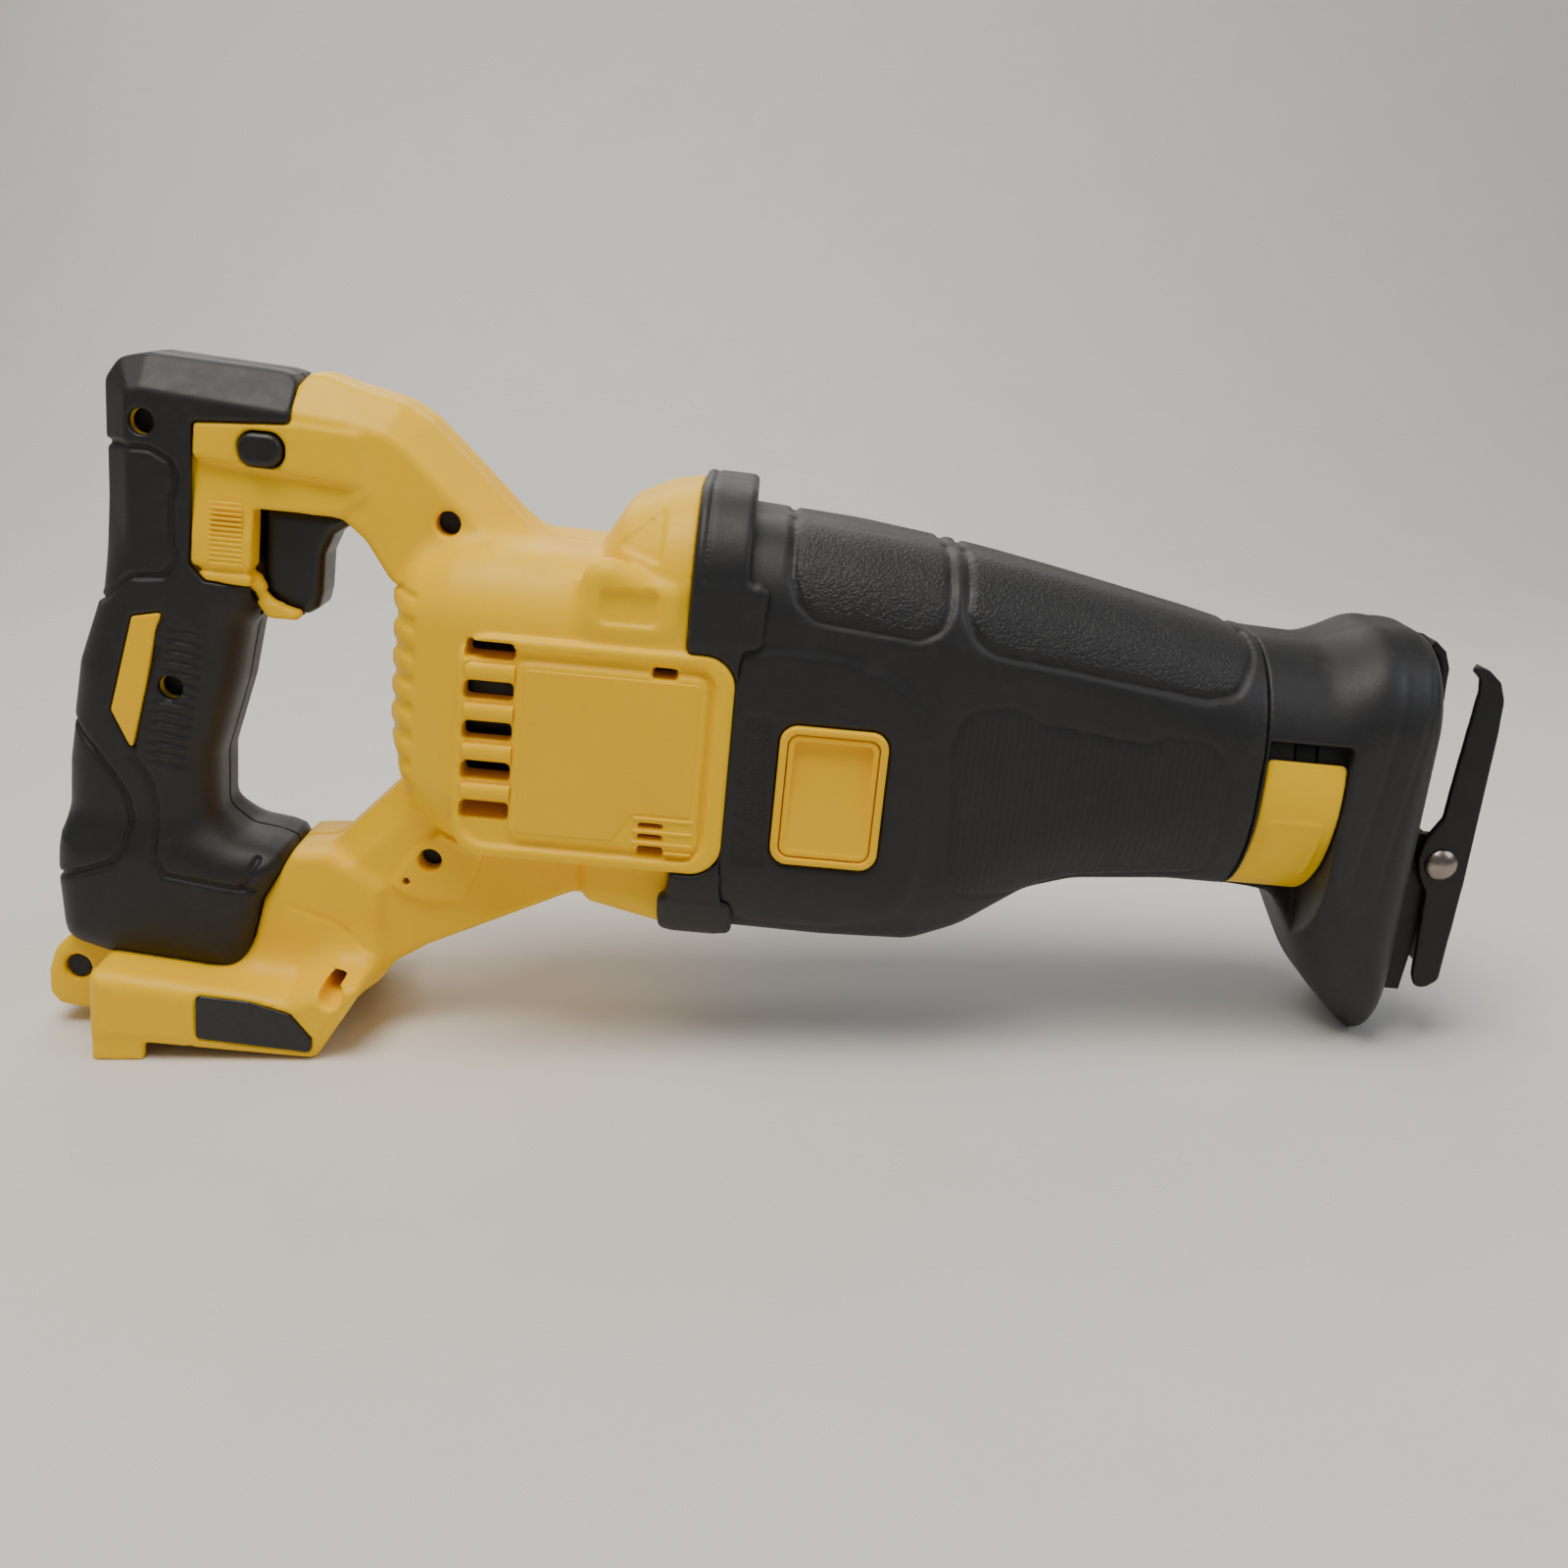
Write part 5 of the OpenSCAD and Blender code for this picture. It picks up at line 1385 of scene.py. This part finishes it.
@dataclass
class Boot:
    """Rubber boot: collar, long sleeve with grip patches, and flared nose."""

    wall: float = 4.0
    root: float = 7.5
    split: float = 156.0
    joint: float = 0.08
    front: float = 209.0
    sleeve: tuple[Station, ...] = (
        Station(HUB_FRONT, 39.6, -60.5, 61.5, 26), Station(40, 39.8, -61, 58.5, 26),
        Station(66, 39.5, -60.5, 55.5, 27), Station(80, 38.4, -55, 53.5, 27),
        Station(98, 36.5, -42.5, 50.5, 27), Station(112, 36.2, -38, 47.8, 27),
        Station(140, 37.0, -36, 42.5, 30), Station(156, 38.5, -36, 38.8, 32),
        Station(174, 39.2, -37.5, 38.2, 33), Station(182, 38.0, -52, 41, 30),
        Station(189, 36.5, -65, 45, 28), Station(202, 34.3, -77, 45, 27),
        Station(206, 31.0, -81, 43.0, 25), Station(209, 26.5, -79.5, 39.5, 23))
    patch_rear: Outline = ((22, 66), (22, 48), (24.5, 41.5), (29, 38), (57, 35.5), (62, 38), (63.5, 43),
                           (63.5, 66))
    patch_front: Outline = ((71, 60), (70.5, 42), (74, 35.5), (79, 33), (138, 25.5), (146.5, 27), (151.5, 36),
                            (150, 41), (144, 52))
    patch_ribs: Outline = ((74, -37), (70, 6), (72.5, 15), (86, 17), (92, 13), (124, 9.5), (128, 12.5),
                           (142, 11.5), (147, 4), (146.5, -28), (110, -33), (96, -39))
    strip: Outline = ((11.0, -32.5), (20.5, 9.5))
    shoulder: Outline = ((8, 28.5), (37, 27.5), (50, 24), (58, 18), (62, 8), (64, -8), (65, -30), (60, -47),
                         (40, -52), (8, -52))
    folds: tuple[float, ...] = (190.5, 199.0)
    mouth: float = 21.0
    mouth_flare: float = 2.5
    nose_r: float = 34.7
    nose_end: float = 181.3
    lever_low: float = -70.5
    lever_gap: float = 22.5
    lever_high: float = 51.5
    lever_way: Pair = (157.0, 180.6)
    lever_roof: float = 38.15
    post_way: Outline = ((-9.8, -29.8), (9.8, -18.0))
    light_centre: Pair = (0.0, -50.0)
    light_r: float = 5.1
    collar: tuple[Station, ...] = (
        Station(-8.5, 41.35, -63.5, 68.5, 27), Station(16.0, 41.35, -63.5, 68.0, 27))
    collar_bore: tuple[Station, ...] = (
        Station(HUB_FRONT, 37, -57, 57.5, 22), Station(16, 37, -57, 57.5, 22))
    collar_front: float = 9.9
    collar_groove: Pair = (-2.6, -1.8)
    side_block: Pair = (26.0, 46.0)
    side_block_front: float = 16.0
    clamp_back: float = -8.4
    clamp_front: float = 13.6
    clamp_top: float = -45.0
    collar_overlap: float = 0.2

    def collar_field(self, x: Array, y: Array, z: Array) -> Array:
        """Collar ring that overlaps the end of the housing, with its side block and lower clamp.

        Args:
            x: Places along the stroke.
            y: Distances from the middle plane.
            z: Heights.

        Returns:
            The field, negative inside.
        """
        section = loft(x, y, z, self.collar, 2.0)
        shape = meet(section, between(x, HUB_FRONT, self.collar_front), 1.8)
        groove = np.maximum(between(x, *self.collar_groove), self.side_block[0] - z)
        shape = raised(shape, groove, -0.7, 0.9)
        block = meet(section, between(x, HUB_FRONT, self.side_block_front), 3.5)
        block = meet(block, between(z, *self.side_block), 3.5)
        clamp = meet(section, between(x, self.clamp_back, self.clamp_front), 2.5)
        clamp = meet(clamp, z - self.clamp_top + 0.5, 2.5)
        shape = fuse(fuse(shape, block, 1.5), clamp, 1.5)
        over_sleeve = np.maximum(self.skin(x, y, z) - 0.15, self.root - self.collar_overlap - x)
        inner = np.minimum(loft(x, y, z, self.collar_bore, 2.0), over_sleeve)
        shape = cut(shape, inner, 0.5)
        shape = cut(shape, loft(x, y, z, SKIRT, SKIRT_BLUR) - 0.2, 0.5)
        plate = meet(panel(x, z, LABEL_LOW, LABEL_HIGH, LABEL_CORNER) - 0.35, 34.0 - np.abs(y))
        shape = cut(shape, plate, 0.5)
        # the clamp reaches further back than the ring
        ring_end = np.maximum(HUB_FRONT + 0.05 - x, between(x, self.clamp_back, 20.0)) * (z > self.clamp_top)
        clamp_end = (self.clamp_back - x) * (z <= self.clamp_top)
        return np.maximum(shape, ring_end + clamp_end)

    def skin(self, x: Array, y: Array, z: Array) -> Array:
        """Outer surface of the sleeve with its shoulder, patches and grooves.

        Args:
            x: Places along the stroke.
            y: Distances from the middle plane.
            z: Heights.

        Returns:
            The field, negative inside.
        """
        shape = loft(x, y, z, self.sleeve, 5.0)
        wide = np.abs(y)
        sideways = step_up((wide - 18.0) / 8.0)
        shape = raised(shape, plan(x, z, self.shoulder, 12.0), 1.3 * sideways, 4.5)
        for patch in (self.patch_rear, self.patch_front):
            rim = np.abs(plan(x, z, patch, 5.0) - 1.0) - 0.9
            shape = raised(shape, rim, -1.2 * step_up((wide - 2.0) / 4.0), 1.5)
        rim = np.abs(plan(x, z, self.patch_ribs, 6.0) - 0.8) - 0.7
        shape = raised(shape, rim, -0.8 * sideways, 1.5)
        shape = raised(shape, panel(x, z, *self.strip, 1.5), -0.7 * sideways, 1.2)
        # shallow folds round the flared nose
        for fold in self.folds:
            crease = np.abs(x - fold - 0.1 * z) - 0.5
            shape = raised(shape, crease, -0.4 * step_up((z + 40.0) / 30.0), 2.2)
        return shape

    def sleeve_field(self, x: Array, y: Array, z: Array) -> Array:
        """Hollow sleeve from the collar to the nose, with the seat of the release button.

        Args:
            x: Places along the stroke.
            y: Distances from the middle plane.
            z: Heights.

        Returns:
            The field, negative inside.
        """
        bare = loft(x, y, z, self.sleeve, 5.0)
        shape = np.maximum(self.skin(x, y, z), -(bare + self.wall))
        shape = meet(shape, between(x, self.root, self.split - self.joint), 0.5)
        frame_seat = np.maximum(ShoeRelease().frame_plan(x, z) - 0.25, y + 30.0)
        return cut(shape, frame_seat, 0.8)

    def nose_field(self, x: Array, y: Array, z: Array) -> Array:
        """Round nose with the lever's way, and the flared bumper with its mouth.

        Args:
            x: Places along the stroke.
            y: Distances from the middle plane.
            z: Heights.

        Returns:
            The field, negative inside.
        """
        skin = self.skin(x, y, z)
        start = self.split + self.joint
        shape = meet(skin, between(x, start, self.front), 5.5)
        shape = np.minimum(shape, meet(skin, between(x, start, self.split + 12.0), 0.3))
        radius = np.hypot(y, z)
        drum = np.maximum(radius - self.nose_r, x - self.nose_end)
        mouth = radius - self.mouth - self.mouth_flare * step_up((x - self.front + 5.0) / 5.0)
        shape = cut(shape, np.minimum(drum, mouth), 0.5)
        angle = np.degrees(np.arctan2(z, -y))
        reach = radius * math.pi / 180.0
        window = between(angle, self.lever_low, self.lever_gap) * reach
        window = np.maximum(window, self.nose_r - 1.0 - radius)
        pocket = np.maximum(between(angle, 0.0, self.lever_high) * reach, radius - self.lever_roof)
        way = np.maximum(np.minimum(window, pocket), between(x, *self.lever_way))
        shape = cut(shape, way, 0.4)
        post = np.maximum(panel(y, z, *self.post_way, 0.5), 180.0 - x)
        light = np.maximum(disc(y, z, self.light_centre, self.light_r), 199.9 - x)
        shape = cut(shape, np.minimum(post, light), 0.5)
        return np.maximum(shape, -height(x, z))

    def build(self) -> None:
        """Build the collar, the sleeve and the nose, and mark their patches."""
        block = Block((-8.6, -42.0, -64.0), (16.2, 42.0, 69.0), 0.7)
        moulding("collar_ring", block, self.collar_field(*block.grid()), RUBBER, "housing",
                 ["boot_collar"])
        block = Block((self.root, -41.6, -62.0), (self.split, 41.6, 62.5), 1.0)
        sleeve = moulding("boot_sleeve", block, self.sleeve_field(*block.grid()), RUBBER, "housing",
                          ["boot"])
        block = Block((self.split, -40.5, -82.0), (self.front, 40.5, 46.5), 0.8)
        nose = moulding("boot_nose", block, self.nose_field(*block.grid()), RUBBER, "housing",
                        ["boot_bumper"])
        for piece in (sleeve, nose):
            self.mark(piece)

    def mark(self, piece: bpy.types.Object) -> None:
        """Store where the pebbled patches and the ribbed patches lie.

        Args:
            piece: Piece that gets the marks.
        """
        x, y, z = tool_points(piece).T
        outside = step_up((loft(x, y, z, self.sleeve, 5.0) + 3.0) / 1.0) * step_up((np.abs(y) - 2.0) / 4.0)
        pebbled = np.minimum(plan(x, z, self.patch_rear, 5.0), plan(x, z, self.patch_front, 5.0))
        rough = panel(x, z, *self.strip, 1.5)
        paint(piece, "stipple", outside * step_up(0.3 - np.minimum(pebbled, rough) / 1.5))
        ribbed = plan(x, z, self.patch_ribs, 6.0)
        paint(piece, "ribs", outside * step_up(0.3 - ribbed / 2.0))


# ---------------------------------------------------------------- blade release

@dataclass
class BladeRelease:
    """Curved lever round the nose that opens the blade clamp."""

    inner: float = 34.8
    outer: float = 37.8
    back: float = 157.5
    front: float = 180.0
    low: float = -69.0
    high: float = 15.0
    pad_half: float = 7.6
    pad_span: Pair = (-10.5, 9.5)
    ring_walls: Pair = (31.3, 35.2)
    ring_ends: Pair = (166.0, 172.0)
    ring_relief: float = 34.2
    ring_tab: float = 18.0

    def build(self) -> None:
        """Build the lever with its raised pad and the ring that carries it."""
        block = Block((self.back, -38.2, -38.5), (self.front, 35.0, 35.0), 0.5)
        x, y, z = block.grid()
        radius = np.hypot(y, z)
        middle = 0.5 * (self.low + self.high)
        reach = math.pi / 180.0 * radius
        arc = (np.degrees(np.arctan2(z, -y)) - middle) * reach
        span = 0.5 * (self.high - self.low) * reach
        centre = 0.5 * (self.back + self.front)
        plate = meet(np.abs(x - centre) - 0.5 * (self.front - self.back), np.abs(arc) - span, 1.6)
        bottom, top = self.pad_span
        pad = panel(x, arc, (centre - self.pad_half, bottom), (centre + self.pad_half, top), 1.5)
        thick = between(radius, self.inner, self.outer - 0.4)
        thick = raised(thick, np.abs(pad) - 0.5, 0.38, 0.7)
        shell = meet(plate, raised(thick, pad, 0.12, 0.8), 0.5)
        ring = meet(between(radius, *self.ring_walls), between(x, *self.ring_ends))
        ring = np.maximum(ring, np.minimum(radius - self.ring_relief, np.abs(arc) - self.ring_tab))
        ring = np.maximum(ring, -shell + 0.05)
        moulding("blade_release_lever", block, shell, YELLOW, "lever", ["release_lever"])
        moulding("blade_release_ring", block, ring, BLACK_PLASTIC, "lever",
                 ["release_lever"])


# ---------------------------------------------------------------- shoe release

@dataclass
class ShoeRelease:
    """Square push button in its frame on the right side of the boot."""

    centre: Pair = (37.0, -12.0)
    half_x: float = 12.6
    half_z: float = 17.6
    edge: float = 2.4
    face: float = -41.8
    frame_root: float = -36.8
    thick: float = 3.5
    hollow_depth: float = 2.7
    hollow_lip: float = 0.3

    def plan_of(self, x: Array, z: Array, grow: float, corner: float) -> Array:
        """Rounded rectangle round the button, in the side plane.

        Args:
            x: Places along the stroke.
            z: Heights.
            grow: How much larger than the button it is.
            corner: Radius of the corners.

        Returns:
            Distances in the side plane, negative inside.
        """
        cx, cz = self.centre
        low = (cx - self.half_x - grow, cz - self.half_z - grow)
        high = (cx + self.half_x + grow, cz + self.half_z + grow)
        return panel(x, z, low, high, corner)

    def frame_plan(self, x: Array, z: Array) -> Array:
        """Outline of the frame, in the side plane."""
        return self.plan_of(x, z, self.edge, 5.0)

    def build(self) -> None:
        """Build the frame and the button with its thumb hollow."""
        cx, cz = self.centre
        reach_x, reach_z = self.half_x + self.edge, self.half_z + self.edge
        low = (cx - reach_x, self.face - 0.7, cz - reach_z)
        block = Block(low, (cx + reach_x, self.frame_root + 0.3, cz + reach_z), 0.4)
        x, y, z = block.grid()
        shape = meet(self.frame_plan(x, z), between(y, self.face - 0.5, self.frame_root), 0.9)
        shape = cut(shape, self.plan_of(x, z, 0.2, 3.2) + 0.0 * y, 0.7)
        moulding("button_surround", block, shape, YELLOW_SMOOTH, "housing",
                 ["button_frame"])
        shape = meet(self.plan_of(x, z, 0.0, 3.0), between(y, self.face, self.face + self.thick), 0.6)
        # the thumb's hollow starts under a hard ledge at the top and runs out toward the bottom
        rise = np.clip((z - cz + self.half_z) / (2.0 * self.half_z), 0.0, 1.0)
        floor = self.face + self.hollow_lip + (self.hollow_depth - self.hollow_lip) * rise ** 1.3
        thumb = np.maximum(self.plan_of(x, z, -1.8, 1.6), y - floor)
        moulding("shoe_release_button", block, cut(shape, thumb, 0.4), YELLOW_SMOOTH, "shoe_button",
                 ["shoe_button"])


# ---------------------------------------------------------------- shoe

@dataclass
class Shoe:
    """Stamped shoe that pivots on a dome-headed rivet."""

    half: float = 25.0
    sheet: float = 2.5
    blade_gap: float = 30.0
    blade_gap_low: float = -34.0
    face_front: float = 225.0
    pivot: Pair = (217.0, -20.0)
    pin_r: float = 3.0
    head_r: float = 5.0
    head_height: float = 2.6
    dome_r: float = 6.2
    flange: Outline = ((213.5, 39), (218, 38.5), (222.5, 35), (224.5, 30), (225, 21), (225, -26),
                       (224, -56), (221, -58.5), (217.5, -59), (216, -55), (214.5, -29), (211.5, -24),
                       (210.2, -19), (211, -13), (215, -6), (215.5, 6), (217, 32), (216.4, 35.6))
    front: Outline = ((217.5, 36), (220.6, 33.2), (222, 29.5), (222.5, 21), (222.5, -26), (221.5, -56),
                      (224, -56), (225, -26), (225, 21), (224.5, 30), (222.5, 35), (218.4, 38.4))

    def build(self) -> None:
        """Build the shoe and its rivet."""
        block = Block((209.5, -25.2, -59.5), (225.3, 25.2, 39.5), 0.5)
        x, y, z = block.grid()
        wide = np.abs(y)
        ears = meet(plan(x, z, self.flange, 2.2), between(wide, self.half - self.sheet, self.half), 0.6)
        face = meet(plan(x, z, self.front, 0.6), wide - self.half + 0.6)
        face = np.maximum(face, x - self.face_front)
        gap = panel(y, z, (-0.5 * self.blade_gap, self.blade_gap_low), (0.5 * self.blade_gap, 60.0), 2.5)
        shape = cut(fuse(ears, face), np.maximum(gap, 208.0 - x), 0.5)
        shape = cut(shape, disc(x, z, self.pivot, self.pin_r + 0.1) + 0.0 * y, 0.4)
        moulding("pivot_shoe", block, shape, BLACK_STEEL, "shoe", ["shoe"])
        self.rivet()

    def rivet(self) -> None:
        """Build the rivet: a pin between two domed heads."""
        block = Block((211.5, -28.0, -25.5), (222.5, 28.0, -14.5), 0.4)
        x, y, z = block.grid()
        radius = disc(x, z, self.pivot, 0.0)
        seat = self.half + 0.05
        pin = meet(radius - self.pin_r, np.abs(y) - seat - 0.5)
        dome = np.hypot(radius, np.abs(y) - seat - self.head_height + self.dome_r) - self.dome_r
        head = meet(meet(dome, radius - self.head_r, 0.4), seat - np.abs(y), 0.2)
        moulding("dome_rivet", block, np.minimum(pin, head), RIVET_STEEL, "shoe_post",
                 ["shoe_rivet"])


# ---------------------------------------------------------------- inner works

@dataclass(frozen=True)
class InnerWorks:
    """Motor, gear train, plunger and electrics, kept from the frame and given their finishes."""

    def dress(self) -> None:
        """Give every kept node its finish."""
        dress(LAMINATED_STEEL, "stator", "rotor")
        dress(COPPER, "windings")
        dress(BLACK_PLASTIC, "fan", "switch_module", "terminal_block")
        dress(GROUND_STEEL, "pinion", "rear_bearing", "front_bearing", "gear_axle", "crank_gear",
              "crank_roller", "plunger", "clamp_pin", "lock_stem", "lock_spring", "shoe_post")
        dress(BRASS, "terminals", "plunger_bushing")
        dress(CAST, "gear_case", "gear_cover")
        dress(ALUMINIUM, "controller")
        dress(BLACK_STEEL, "clamp_collar", "shoe_bracket")
        dress(RUBBER, "plunger_seal")
        dress(CLEAR, "work_light")


# ---------------------------------------------------------------- studio

@dataclass(frozen=True)
class Light:
    """Soft rectangular lamp that looks at the saw."""

    name: str
    place: Triple
    size: float
    power: float
    colour: str = "#FFFFFF"

    def build(self, target: Triple) -> None:
        """Hang the lamp so that it looks at the target.

        Args:
            target: Place that it looks at.
        """
        lamp = bpy.data.lights.new(self.name, "AREA")
        lamp.shape = "SQUARE"
        lamp.size = self.size
        lamp.energy = self.power
        lamp.color = linear(self.colour)[:3]
        holder = bpy.data.objects.new(self.name, lamp)
        holder.location = self.place
        aim = Vector(target) - Vector(self.place)
        holder.rotation_euler = aim.to_track_quat("-Z", "Y").to_euler()
        bpy.context.scene.collection.objects.link(holder)


@dataclass(frozen=True)
class Studio:
    """Pale floor that sweeps up behind the saw, soft lamps and the camera."""

    camera_place: Triple = (0.0117, -0.4720, 0.2198)
    camera_pitch: float = 17.2
    lens_mm: float = 37.575
    sensor_mm: float = 36.0
    target: Triple = (0.0, 0.0, 0.08)
    room_light: float = 0.26
    floor_back: float = 0.7
    sweep_r: float = 0.5
    wall_top: float = 3.0
    lamps: tuple[Light, ...] = (
        Light("key_lamp", (-0.2, -0.3, 1.3), 0.8, 17.0, "#FFF8EE"),
        Light("side_lamp", (0.95, -0.3, 0.75), 0.6, 3.5, "#F3F7FF"),
        Light("back_lamp", (-0.2, 0.95, 0.9), 1.0, 6.0),
    )

    def build(self) -> None:
        """Make the floor, the lamps, the surroundings and the camera."""
        self.sweep()
        for lamp in self.lamps:
            lamp.build(self.target)
        world = bpy.data.worlds.new("studio")
        world.use_nodes = True
        glow = world.node_tree.nodes["Background"]
        glow.inputs["Color"].default_value = linear("#E9ECEF")
        glow.inputs["Strength"].default_value = self.room_light
        bpy.context.scene.world = world
        eye = bpy.data.cameras.new("camera")
        eye.lens = self.lens_mm
        eye.sensor_width = self.sensor_mm
        eye.clip_start = 0.01
        holder = bpy.data.objects.new("camera", eye)
        holder.location = self.camera_place
        holder.rotation_euler = (math.radians(90.0 - self.camera_pitch), 0.0, 0.0)
        bpy.context.scene.collection.objects.link(holder)
        bpy.context.scene.camera = holder

    def sweep(self) -> None:
        """Floor and backdrop in one sheet, joined by a wide curve."""
        back, bend = self.floor_back, self.sweep_r
        turns = np.linspace(0.1, math.pi / 2, 16)
        profile = [(-3.0, 0.0), (back, 0.0)]
        profile += [(back + bend * math.sin(turn), bend - bend * math.cos(turn)) for turn in turns]
        profile += [(back + bend, self.wall_top)]
        points = [(x, y, z) for y, z in profile for x in (-4.0, 4.0)]
        faces = [(2 * i, 2 * i + 1, 2 * i + 3, 2 * i + 2) for i in range(len(profile) - 1)]
        mesh = bpy.data.meshes.new("studio_floor")
        mesh.from_pydata(points, [], faces)
        mesh.polygons.foreach_set("use_smooth", [True] * len(mesh.polygons))
        mesh.materials.append(PAPER.material())
        floor = bpy.data.objects.new("studio_floor", mesh)
        bpy.context.scene.collection.objects.link(floor)


HOUSING = Housing()
GRIP = Grip()


def main() -> None:
    """Build the saw's covers, dress the kept nodes and set the studio."""
    logging.basicConfig(level=logging.INFO, format="%(name)s: %(message)s")
    Studio().build()
    HOUSING.build()
    GRIP.build()
    Controls().build()
    Boot().build()
    BladeRelease().build()
    ShoeRelease().build()
    Shoe().build()
    InnerWorks().dress()


if __name__ == "__main__":
    main()
